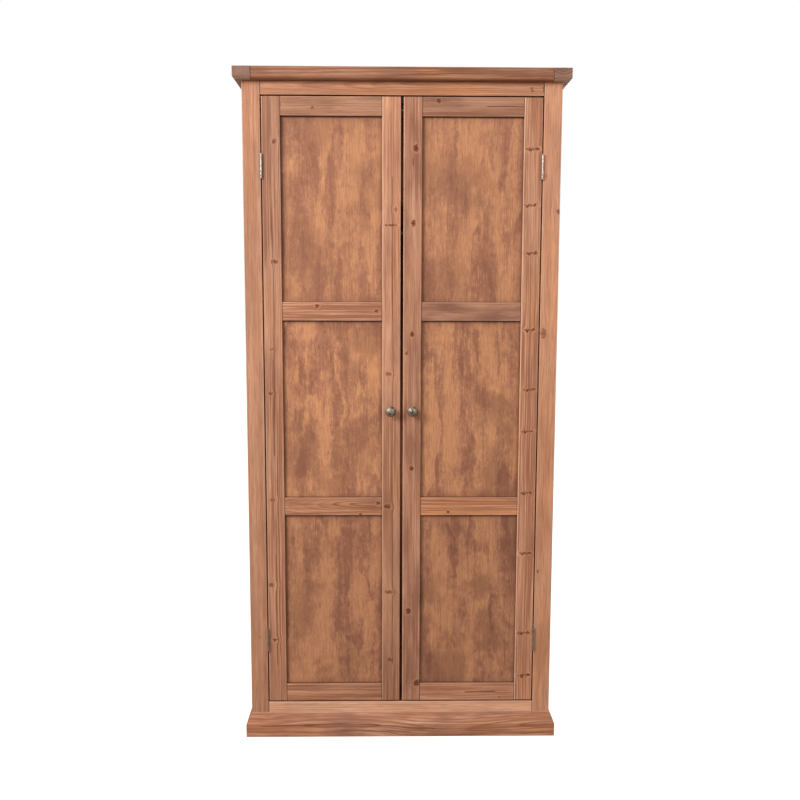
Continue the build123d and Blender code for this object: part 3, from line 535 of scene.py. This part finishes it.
def ends_and_edges(node, figure, colour, places, halves, facings, late, stain):
    """End grain, arrises paled by wear and a painted highlight, painted shade at a door gap, painted bounce
    light under the top's ends, and joint lines. Also the mask of wear and highlight.
    """
    along, across, depth = places
    ends = facings[0].size().step(0.6, 0.9)
    colour = colour.mixed(END_GRAIN, ends * 0.65)
    colour = colour.mixed(CRACK_AND_SHADE, ends * late * 0.4)
    to_side = across.size() * -1.0 + halves[1]
    to_face = depth.size() * -1.0 + halves[2]
    # Wear and painted highlight: the arrises are paled where the stain is thin, and more on the side that
    # faces the key light.
    wear_and_highlight = to_side.most(to_face).step(*ARRIS_WEAR_AND_HIGHLIGHT) * stain.step(0.1, 0.5)
    wear_and_highlight = wear_and_highlight * across.step(-halves[1] * 0.2, halves[1] * 0.2, *figure.worn_and_lit)
    colour = colour.mixed(PALE_AND_HIGHLIGHT, wear_and_highlight)
    # Painted shade: the sides that face the gap round a door are darkened, in place of the shadow in the gap.
    for side in shaded_gap_sides(node):
        colour = colour.mixed(CRACK_AND_SHADE, (facings[1] * side).step(0.75, 0.98, 0.0, 0.6))
    # Painted bounce light: the undersides of the top's ends are painted paler, in place of light bounced up
    # from the floor.
    if node.startswith("top_end"):
        painted_bounce = facings[2].step(-0.4, -0.9)
        colour = colour.mixed(UNDERSIDE_BOUNCE_LIGHT, painted_bounce * 0.75)
    upright = shoulder_of(node)
    if upright:
        to_joint = along.size() * -1.0 + (halves[0] - hidden_tenon(node, upright))
        colour = colour.mixed(CRACK_AND_SHADE, to_joint.step(*JOINT_LINE, 0.0, 0.75))
    return colour, wear_and_highlight


# How far each part of the wood lifts the surface, as shares of the relief.
LATEWOOD_LIFT = -0.35
FIBRE_LIFT = 0.5
PORE_LIFT = 0.3
KNOT_LIFT = 0.8
CRACK_LIFT = -1.6
STAIN_SHADES = (1.05, 0.94)         # where the stain is thin and where it is thick
PINE_ROUGHNESS = 0.42
FIBRE_ROUGHNESS = 0.16
LATEWOOD_ROUGHNESS = -0.07
WEAR_ROUGHNESS = 0.1


def pine(node, figure, grain=None):
    """Stained pine with year rings cut through the whole board, light wear, and painted highlight, shade and
    bounce light at some edges and faces.
    """
    surface = Surface("pine_" + node)
    places, halves, facings = board_fields(surface, node, grain)
    along, across, depth = places
    seed = seed_of(node)

    slow = layered(surface, BEND, places, seed)
    ripple = layered(surface, RIPPLE, places, seed)
    wandered = (slow - 0.5).times_plus(figure.wander, across)
    wandered = (ripple - 0.5).times_plus(figure.ripple, wandered)
    knot_edges = seeded(surface, places, KNOT_EDGES, seed)
    spot = surface.shaken(surface.vector(along, wandered), knot_edges, KNOT_EDGE_REACH)
    hearts, rims, flowed = knot_fields(surface, spot, wandered, figure, halves)

    from_pith = surface.vector(
        along.times_plus(-figure.lean[0], flowed) - figure.pith[0],
        (slow - 0.5).times_plus(figure.wander, along.times_plus(-figure.lean[1], depth)) - figure.pith[1],
    )
    late = year_rings(surface, from_pith, figure.ring, seed)
    colour, fibres, stain = stained_wood(surface, figure, places, flowed, slow, late, seed)
    pores = layered(surface, PORES, (along, flowed, depth), seed)

    height = (late * LATEWOOD_LIFT) + (fibres * FIBRE_LIFT)
    height = pores.times_plus(PORE_LIFT, height)
    if hearts is not None:
        colour = colour.mixed(KNOT_RIM, rims)
        colour = colour.mixed(KNOT_HEART, hearts)
        height = hearts.times_plus(KNOT_LIFT, height)
    lines = streak_field(surface, along, flowed, figure, halves)
    if lines is not None:
        colour = colour.mixed(CRACK_AND_SHADE, lines)
        height = lines.times_plus(CRACK_LIFT, height)

    colour, wear_and_highlight = ends_and_edges(node, figure, colour, places, halves, facings, late, stain)
    shade = stain.step(0.25, 0.75, *(figure.shade * share for share in STAIN_SHADES))
    if figure.fade:
        shade = shade * along.times_plus(figure.fade / halves[0], 1.0)
    colour = colour.mixed(surface.vector(shade, shade, shade), 1.0, "MULTIPLY")

    roughness = fibres.times_plus(FIBRE_ROUGHNESS, late * LATEWOOD_ROUGHNESS) + PINE_ROUGHNESS
    roughness = wear_and_highlight.times_plus(WEAR_ROUGHNESS, roughness)
    return surface.finish(colour, roughness, height, PINE_RELIEF, **SATIN)


# ---------------------------------------------------------------- plywood

# How light the veneer is across one band of its figure.
BAND_PROFILE = ((0.0, 1.0), (0.12, 0.85), (0.5, 0.5), (0.93, 0.0), (1.0, 1.0))
BAND_WEIGHT = 0.24                  # of the bands in the tone, from 0 for dark to 1 for light
PATCH_WEIGHT = 0.27
TONE_TRIM = 0.06


def panel_tongues():
    """How much of a door panel is hidden in the grooves, along its grain and across it."""
    panel_low, panel_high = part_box("right_door_upper_panel")
    stile_low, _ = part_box("right_door_hinge_stile")
    _, rail_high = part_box("right_door_upper_middle_rail")
    return rail_high.z - panel_low.z, panel_high.x - stile_low.x


def panel_painted_shade(colour, along, across, halves):
    """The colour with painted shade where a door panel meets its frame: a soft dark border and a crisp dark
    line, in place of the frame's shadow.
    """
    hidden = panel_tongues()
    in_from_rail = along.size() * -1.0 + (halves[0] - hidden[0])
    in_from_stile = across.size() * -1.0 + (halves[1] - hidden[1])
    inset = in_from_rail.least(in_from_stile)
    colour = colour.mixed(VENEER_STAIN_AND_SHADE, inset.step(*PANEL_SHADOW, 0.0, 0.22))
    return colour.mixed(CRACK_AND_SHADE, inset.step(*PANEL_SHADE_LINE, 0.0, 0.42))


def plywood(node, shade=1.0, dark=0.36, light=0.4):
    """Rotary-cut pine veneer: broad wild figure with ragged edges along the grain, and uneven stain."""
    surface = Surface("plywood_" + node)
    places, halves, _ = board_fields(surface, node, grain="z")
    along, across, depth = places
    seed = seed_of(node)
    other_seed = seed[::-1]

    rags = layered(surface, RAGS, places, seed)
    teeth = layered(surface, TEETH, places, seed)
    swirl = layered(surface, SWIRL, places, other_seed)
    ragged = (rags - 0.5).times_plus(RAG_REACH, (teeth - 0.5).times_plus(TOOTH_REACH, along))
    swirled = (swirl - 0.5).times_plus(SWIRL_REACH, across)
    ragged_places = (ragged, swirled, depth)
    swirled_places = (along, swirled, depth)

    contour = (layered(surface, HILLS, ragged_places, seed) * CONTOURS).math("FRACT")
    bands = contour.ramp(*BAND_PROFILE)
    patches = layered(surface, PATCHES, ragged_places, other_seed)
    columns = layered(surface, COLUMNS, swirled_places, seed)
    veins = layered(surface, VEINS, places, other_seed)
    mottle = layered(surface, MOTTLE, swirled_places, other_seed)
    strokes = layered(surface, STROKES, places, seed)
    fibres = layered(surface, VENEER_FIBRES, places, seed)
    clouds = layered(surface, CLOUDS, swirled_places, seed)
    specks = layered(surface, SPECKS, places, other_seed)
    pores = layered(surface, VENEER_PORES, places, seed)

    tone = (bands * BAND_WEIGHT) + (patches.step(0.4, 0.6) * PATCH_WEIGHT)
    for layer, start, end, weight in (
        (columns, 0.4, 0.58, 0.2), (mottle, 0.34, 0.66, 0.19), (veins, 0.3, 0.7, 0.07),
        (strokes, 0.34, 0.66, 0.1), (specks, 0.34, 0.66, 0.14),
    ):
        tone = layer.step(start, end).times_plus(weight, tone)
    tone = tone - TONE_TRIM
    colour = surface.colour(VENEER).mixed(VENEER_LIGHT, tone.step(0.44, 0.74, 0.0, light * 1.6))
    colour = colour.mixed(VENEER_DARK, tone.step(0.52, 0.2, 0.0, dark * 1.7))
    colour = colour.mixed(VENEER_STAIN_AND_SHADE, clouds.step(0.48, 0.58, 0.0, dark * 0.95))
    flecks = strokes.step(0.55, 0.68) * contour.step(0.4, 0.0, 0.25, 1.0)
    colour = colour.mixed(VENEER_FLECK, flecks * (light * 0.6 + 0.3))
    colour = colour.mixed(VENEER_DARK, fibres.step(0.58, 0.32, 0.0, 0.4))
    colour = colour.mixed(VENEER_STAIN_AND_SHADE, specks.step(0.64, 0.8, 0.0, 0.45))
    # Painted shade where each door panel meets its frame.
    if node in PANEL_SHADES:
        colour = panel_painted_shade(colour, along, across, halves)
    shading = veins.step(0.25, 0.75, shade * 0.99, shade * 1.06)
    colour = colour.mixed(surface.vector(shading, shading, shading), 1.0, "MULTIPLY")

    height = (fibres * 0.6) + (pores * 0.35)
    height = tone.times_plus(-0.25, height)
    roughness = fibres.times_plus(0.14, tone * -0.06) + 0.46
    return surface.finish(colour, roughness, height, VENEER_RELIEF, **SATIN)


# ---------------------------------------------------------------- metals and plastic

# Noise in metal and plastic has so many features in a metre along x, y and z.
TARNISH_PATCHES = (140.0, 140.0, 140.0)
TARNISH_ORIGIN = (3.1, 7.7, 1.3)


def metal(name, bright, dull, scratches_per_metre, smooth, rough, relief, tarnish):
    """Bare metal with directional scratches, and tarnish that gathers in patches."""
    surface = Surface(name)
    scratches = surface.noise(surface.scaled(surface.place, scratches_per_metre), 3.0, 0.65)
    patches = surface.noise(surface.scaled(surface.place, TARNISH_PATCHES, TARNISH_ORIGIN), 4.0, 0.6)
    dirty = patches.step(0.44, 0.66, 0.0, tarnish)
    colour = surface.colour(bright).mixed(dull, dirty)
    colour = colour.mixed(dull, scratches.step(0.6, 0.35, 0.0, 0.25))
    roughness = dirty.times_plus(rough - smooth, scratches * 0.12) + smooth
    height = scratches.times_plus(0.5, patches * 0.5)
    return surface.finish(colour, roughness, height, relief, Metallic=1.0)


STEEL = metal(
    "brushed_steel", bright=srgb(190, 186, 178), dull=srgb(112, 104, 96),
    scratches_per_metre=(300.0, 300.0, 4200.0), smooth=0.26, rough=0.5, relief=0.00006, tarnish=0.6,
)
PEWTER = metal(
    "aged_pewter", bright=srgb(178, 166, 152), dull=srgb(92, 76, 66),
    scratches_per_metre=(260.0, 260.0, 260.0), smooth=0.5, rough=0.66, relief=0.0006, tarnish=0.9,
)
CHROME = metal(
    "chrome_tube", bright=srgb(168, 167, 166), dull=srgb(118, 114, 110),
    scratches_per_metre=(30.0, 2600.0, 2600.0), smooth=0.26, rough=0.42, relief=0.00002, tarnish=0.45,
)

PLASTIC_BROWN = srgb(120, 84, 62)
PLASTIC_RUBBED = srgb(150, 112, 86)
PLASTIC_PITS = srgb(84, 56, 42)
PLASTIC_GRIT = (2400.0, 2400.0, 2400.0)
PLASTIC_RUBS = (90.0, 90.0, 90.0)
PLASTIC_RUBS_ORIGIN = (5.0, 1.0, 2.0)
PLASTIC_RELIEF = 0.00005


def catch_plastic():
    """Brown moulded plastic with a fine spark-eroded texture and rubbed high spots."""
    surface = Surface("catch_plastic")
    grit = surface.noise(surface.scaled(surface.place, PLASTIC_GRIT), 2.0, 0.6)
    rubs = surface.noise(surface.scaled(surface.place, PLASTIC_RUBS, PLASTIC_RUBS_ORIGIN), 3.0)
    colour = surface.colour(PLASTIC_BROWN).mixed(PLASTIC_RUBBED, rubs.step(0.5, 0.75, 0.0, 0.5))
    colour = colour.mixed(PLASTIC_PITS, grit.step(0.6, 0.35, 0.0, 0.35))
    return surface.finish(colour, rubs.step(0.3, 0.7, 0.55, 0.38), grit, PLASTIC_RELIEF)


PLASTIC = catch_plastic()


# ---------------------------------------------------------------- each board's own figure

FIGURES = {
    "top_panel": Figure(
        pith=(-0.262, 0.055), lean=(0.0, 0.02), ring=0.0092, contrast=0.95, wander=0.012, ripple=0.004,
        honey=0.75, umber=0.3, shade=0.84, flame=0.7, thread=0.9,
    ),
    "top_end_left": Figure(pith=(0.0, 0.035), ring=0.0075, contrast=0.5, honey=0.1, umber=0.45, shade=0.84),
    "top_end_right": Figure(pith=(0.0, 0.035), ring=0.0075, contrast=0.4, honey=0.1, umber=0.5, shade=0.88),
    "front_top_rail": Figure(
        pith=(0.012, -0.022), lean=(0.012, 0.05), ring=0.0052, contrast=0.38, wander=0.02, ripple=0.004,
        honey=0.6, shade=1.08, flame=0.4, thread=0.35,
        knots=(Knot(0.975, 0.56, 0.006, 2.0, 0.6), Knot(0.93, 0.5, 0.004, 1.6, 0.5)),
    ),
    "front_bottom_rail": Figure(
        pith=(0.1, -0.03), contrast=0.2, honey=0.14, umber=0.0, light=PALEWOOD, shade=1.44,
        flame=0.35, thread=0.3,
    ),
    "front_post_left": Figure(
        pith=(-0.11, -0.05), contrast=0.18, ripple=0.003, honey=0.26, umber=0.12, shade=1.0, fade=0.1,
        flame=0.45, thread=0.3,
        knots=(Knot(0.16, 0.5, 0.004, 0.8, 0.3),),
    ),
    "front_post_right": Figure(
        pith=(0.13, -0.06), contrast=0.12, wander=0.03, ripple=0.006, honey=0.36, umber=0.12, shade=1.17,
        fade=0.06, flame=0.3, thread=0.15,
        knots=(
            Knot(0.866, 0.22, 0.004, 0.9, 0.25), Knot(0.814, 0.94, 0.005, 1.6, 0.65),
            Knot(0.634, 0.16, 0.012, 0.6, 0.5), Knot(0.265, 0.19, 0.004, 1.0, 0.55),
        ),
    ),
    "plinth_front": Figure(
        pith=(0.0, -0.034), lean=(0.01, 0.012), ring=0.0085, contrast=0.75, wander=0.05, ripple=0.014,
        honey=0.5, umber=0.6, light=PALEWOOD, shade=1.22,
        streaks=(Streak(0.47, 0.04, 0.62, 0.003, 0.5), Streak(0.16, 0.3, 0.97, 0.0026, 0.45)),
    ),
    "left_door_hinge_stile": Figure(
        pith=(-0.08, -0.03), contrast=0.34, honey=0.18, umber=0.14, shade=1.03, fade=-0.05,
        knots=(
            Knot(0.93, 0.68, 0.0045, 1.4, 0.6), Knot(0.741, 0.59, 0.004, 2.2, 0.6),
            Knot(0.6, 0.4, 0.003, 2.0, 0.4), Knot(0.527, 0.33, 0.004, 1.5, 0.55),
            Knot(0.35, 0.3, 0.0035, 2.4, 0.4), Knot(0.204, 0.23, 0.0045, 1.8, 0.6),
            Knot(0.108, 0.36, 0.004, 2.0, 0.65),
        ),
        streaks=(
            Streak(0.5, 0.42, 1.0, 0.0017, 0.7), Streak(0.66, 0.08, 0.5, 0.0015, 0.5),
            Streak(0.5, 0.06, 0.26, 0.0017, 0.8),
        ),
    ),
    "left_door_lock_stile": Figure(
        pith=(0.09, -0.03), contrast=0.3, honey=0.22, umber=0.18, shade=1.08, fade=0.24,
        thread=0.6, worn_and_lit=(1.0, 0.3),
        knots=(
            Knot(0.825, 0.74, 0.005, 1.2, 0.4), Knot(0.8, 0.5, 0.0024, 6.5, 0.7),
            Knot(0.56, 0.32, 0.004, 1.8, 0.5), Knot(0.338, 0.3, 0.005, 1.8, 0.7),
            Knot(0.191, 0.33, 0.0035, 3.8, 0.55), Knot(0.072, 0.45, 0.0045, 1.6, 0.55),
        ),
        streaks=(Streak(0.55, 0.06, 0.88, 0.0015, 0.7),),
    ),
    "right_door_lock_stile": Figure(
        pith=(-0.07, -0.02), ring=0.0034, contrast=0.32, honey=0.08, umber=0.5, shade=1.07, fade=0.06,
        thread=0.6, worn_and_lit=(0.7, 0.2),
        knots=(
            Knot(0.921, 0.66, 0.0085, 0.8, 0.8), Knot(0.803, 0.52, 0.007, 0.8, 0.9),
            Knot(0.625, 0.49, 0.006, 1.0, 0.85), Knot(0.594, 0.16, 0.005, 0.8, 0.6),
            Knot(0.403, 0.47, 0.0058, 1.0, 0.9), Knot(0.158, 0.33, 0.0075, 0.9, 0.9),
            Knot(0.031, 0.87, 0.0075, 1.2, 0.95),
        ),
        streaks=(Streak(0.51, 0.89, 0.908, 0.0018, 0.9),),
    ),
    "right_door_hinge_stile": Figure(
        pith=(0.09, -0.03), contrast=0.3, honey=0.26, umber=0.14, shade=1.17, flame=0.55, worn_and_lit=(1.0, 0.3),
        knots=(
            whorl(0.92) + whorl(0.832, 0.42) + whorl(0.756) + whorl(0.632) + whorl(0.534, 0.55)
            + whorl(0.465) + whorl(0.361, 0.46) + whorl(0.258) + whorl(0.119) + whorl(0.044, 0.55)
        ),
    ),
    "left_door_top_rail": Figure(
        pith=(-0.06, -0.03), contrast=0.36, honey=0.1, umber=0.25, shade=0.92,
        knots=(Knot(0.33, 0.39, 0.0045, 1.1, 0.5), Knot(0.03, 0.53, 0.004, 1.0, 0.6)),
    ),
    "left_door_upper_middle_rail": Figure(
        pith=(0.05, -0.03), contrast=0.42, honey=0.24, umber=0.2, shade=1.16,
        knots=(Knot(0.36, 0.8, 0.005, 1.0, 0.85), Knot(0.91, 0.55, 0.0045, 1.0, 0.95)),
    ),
    "left_door_lower_middle_rail": Figure(
        pith=(0.004, -0.022), lean=(0.02, 0.11), ring=0.005, contrast=0.85, ripple=0.004,
        honey=0.42, umber=0.12, shade=1.06,
        knots=(Knot(0.93, 0.68, 0.005, 1.2, 0.75), Knot(0.76, 0.05, 0.004, 1.0, 0.9)),
    ),
    "left_door_bottom_rail": Figure(
        pith=(0.01, -0.02), lean=(0.01, 0.06), ring=0.0066, contrast=0.52, ripple=0.004,
        honey=0.55, umber=0.16, shade=0.98, flame=0.8,
    ),
    "right_door_top_rail": Figure(
        pith=(0.06, -0.03), contrast=0.34, honey=0.1, umber=0.35, shade=0.9,
        knots=(Knot(0.18, 0.78, 0.0045, 1.5, 0.7),),
        streaks=(Streak(0.49, 0.6, 0.99, 0.0014, 0.85),),
    ),
    "right_door_upper_middle_rail": Figure(
        pith=(-0.08, -0.04), contrast=0.1, honey=0.04, umber=0.6, shade=0.92, flame=0.3, thread=0.3,
    ),
    "right_door_lower_middle_rail": Figure(
        pith=(0.02, -0.03), lean=(0.01, 0.03), ring=0.0055, contrast=0.34,
        honey=0.7, umber=0.05, shade=1.22,
        knots=(Knot(0.3, 0.22, 0.004, 1.2, 0.7),),
    ),
    "right_door_bottom_rail": Figure(
        pith=(0.04, -0.03), contrast=0.34, honey=0.2, umber=0.2, shade=1.24,
        knots=(Knot(0.82, 0.2, 0.003, 0.6, 0.8),),
        streaks=(Streak(0.5, 0.46, 0.8, 0.0026, 0.8),),
    ),
}

PANEL_SHADES = {
    "left_door_upper_panel": dict(shade=1.0, dark=0.38, light=0.5),
    "left_door_middle_panel": dict(shade=1.03, dark=0.46, light=0.62),
    "left_door_lower_panel": dict(shade=0.92, dark=0.5, light=0.42),
    "right_door_upper_panel": dict(shade=0.99, dark=0.42, light=0.46),
    "right_door_middle_panel": dict(shade=0.96, dark=0.5, light=0.54),
    "right_door_lower_panel": dict(shade=0.89, dark=0.55, light=0.42),
}

# The axis of the grain, where a node's longest side doesn't tell.
GRAIN = {"floor_cleats": "y", "shelf_cleats": "y"}


def chance_figure(node, light=EARLYWOOD):
    """An ordinary figure for a board that the front doesn't show, the same each time."""
    chance = random.Random("figure " + node)
    knots = tuple(
        Knot(chance.uniform(0.05, 0.95), chance.uniform(0.15, 0.85), chance.uniform(0.003, 0.008), 1.1, 0.7)
        for _ in range(chance.randint(1, 4))
    )
    return Figure(
        pith=(chance.choice((-1, 1)) * chance.uniform(0.03, 0.1), chance.uniform(-0.06, -0.025)),
        lean=(chance.uniform(-0.02, 0.02), chance.uniform(-0.03, 0.03)),
        ring=chance.uniform(0.0036, 0.0055),
        contrast=chance.uniform(0.25, 0.45),
        honey=chance.uniform(0.1, 0.4),
        umber=chance.uniform(0.08, 0.3),
        light=light,
        shade=chance.uniform(0.92, 1.02),
        knots=knots,
    )


def material_for(node):
    """The finished material of one CAD node, by its slot in the record."""
    slot = slots[node]
    if slot == "pine":
        return pine(node, FIGURES.get(node) or chance_figure(node), GRAIN.get(node))
    if slot == "inside_pine":
        return pine(node, chance_figure(node, INSIDE_LIGHT), GRAIN.get(node))
    if slot == "plywood":
        return plywood(node, **PANEL_SHADES.get(node, {}))
    return {"steel": STEEL, "pewter": PEWTER, "chrome_tube": CHROME, "catch_plastic": PLASTIC}[slot]


for node, piece in frame["nodes"].items():
    piece.data.materials.clear()
    piece.data.materials.append(material_for(node))


# ---------------------------------------------------------------- studio

FLOOR_REACH = 30.0
FLOOR_COLOUR = (0.38, 0.31, 0.25, 1.0)
WHITE = (1.0, 1.0, 1.0, 1.0)
GLOW_COLOUR = (1.0, 0.72, 0.46)
GLOW_RADIUS = 0.08
GLOW_ABOVE_SHELF = 0.14
GLOW_BELOW_SHELF = 0.45             # as a share of the shelf's height


def studio_floor():
    """A warm grey floor that runs far past the wardrobe, and that the camera sees as plain white."""
    mesh = bpy.data.meshes.new("studio_floor")
    reach = FLOOR_REACH
    corners = [(-reach, -reach, 0), (reach, -reach, 0), (reach, reach, 0), (-reach, reach, 0)]
    mesh.from_pydata(corners, [], [(0, 1, 2, 3)])
    floor = bpy.data.objects.new("studio_floor", mesh)
    floor.location.z = cad_low.z
    bpy.context.scene.collection.objects.link(floor)
    surface = Surface("studio_floor")
    surface.shader.inputs["Base Color"].default_value = FLOOR_COLOUR
    path = surface.tree.nodes.new("ShaderNodeLightPath")
    surface.shader.inputs["Emission Color"].default_value = WHITE
    surface.tree.links.new(path.outputs["Is Camera Ray"], surface.shader.inputs["Emission Strength"])
    surface.shader.inputs["Roughness"].default_value = 0.9
    surface.shader.inputs["Specular IOR Level"].default_value = 0.1
    mesh.materials.append(surface.material)


def inside_glow(name, height, watts):
    """A faint warm light inside, as light that leaks in through the joints of a real wardrobe."""
    light = bpy.data.lights.new(name, "POINT")
    light.energy = watts
    light.shadow_soft_size = GLOW_RADIUS
    light.color = GLOW_COLOUR
    lamp = bpy.data.objects.new(name, light)
    lamp.location = (cad_low + cad_high) / 2
    lamp.location.z = height
    lamp.visible_camera = False
    bpy.context.scene.collection.objects.link(lamp)


def studio_light(name, place, target, size, watts):
    """A soft box at a place, aimed at a target."""
    light = bpy.data.lights.new(name, "AREA")
    light.shape = "SQUARE"
    light.size = size
    light.energy = watts
    box = bpy.data.objects.new(name, light)
    box.location = place
    box.rotation_euler = (Vector(target) - Vector(place)).to_track_quat("-Z", "Y").to_euler()
    bpy.context.scene.collection.objects.link(box)


def studio_world(seen, lighting):
    """An even white surround, seen brighter than it lights."""
    world = bpy.data.worlds.new("studio")
    world.use_nodes = True
    tree = world.node_tree
    path = tree.nodes.new("ShaderNodeLightPath")
    brightness = Field(tree, path.outputs["Is Camera Ray"]).times_plus(seen - lighting, lighting)
    plug(tree, brightness, tree.nodes["Background"].inputs["Strength"])
    tree.nodes["Background"].inputs["Color"].default_value = WHITE
    bpy.context.scene.world = world


# The camera stands in front of the doors' faces, a little to the left, and looks slightly down.
door_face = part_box("right_door_lock_stile")[0].y
CAMERA_DISTANCE = 2.417
CAMERA_SIDE = -0.041
CAMERA_HEIGHT = 1.2416
CAMERA_PITCH = math.radians(6.618)
CAMERA_YAW = math.radians(0.871)
CAMERA_ROLL = math.radians(0.155)
CAMERA_LENS = 40.05                 # millimetres, as is the sensor
CAMERA_SENSOR = 36.0

camera = bpy.data.objects.new("camera", bpy.data.cameras.new("camera"))
camera.data.lens = CAMERA_LENS
camera.data.sensor_width = CAMERA_SENSOR
turn = Euler((math.pi / 2 - CAMERA_PITCH, 0.0, -CAMERA_YAW)).to_matrix().to_4x4()
place = Matrix.Translation((CAMERA_SIDE, door_face - CAMERA_DISTANCE, cad_low.z + CAMERA_HEIGHT))
camera.matrix_world = place @ turn @ Matrix.Rotation(CAMERA_ROLL, 4, "Z")
bpy.context.scene.collection.objects.link(camera)
bpy.context.scene.camera = camera

studio_floor()
studio_world(seen=1.0, lighting=0.27)
shelf_low, shelf_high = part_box("hat_shelf")
inside_glow("glow_below_shelf", height=shelf_low.z * GLOW_BELOW_SHELF, watts=0.42)
inside_glow("glow_above_shelf", height=shelf_high.z + GLOW_ABOVE_SHELF, watts=0.16)
middle = (cad_low + cad_high) / 2
studio_light("key", place=(-2.7, -2.5, 2.9), target=(0.0, 0.0, 1.25), size=1.7, watts=138)
studio_light("fill", place=(2.7, -2.6, 2.7), target=(0.0, 0.0, 1.2), size=1.4, watts=40)
studio_light("back", place=(1.8, 3.4, 2.5), target=middle, size=2.2, watts=55)
studio_light("top", place=(0.0, 0.2, 4.2), target=middle, size=2.5, watts=36)

bpy.context.scene.view_settings.view_transform = "Standard"
bpy.context.scene.view_settings.look = "None"
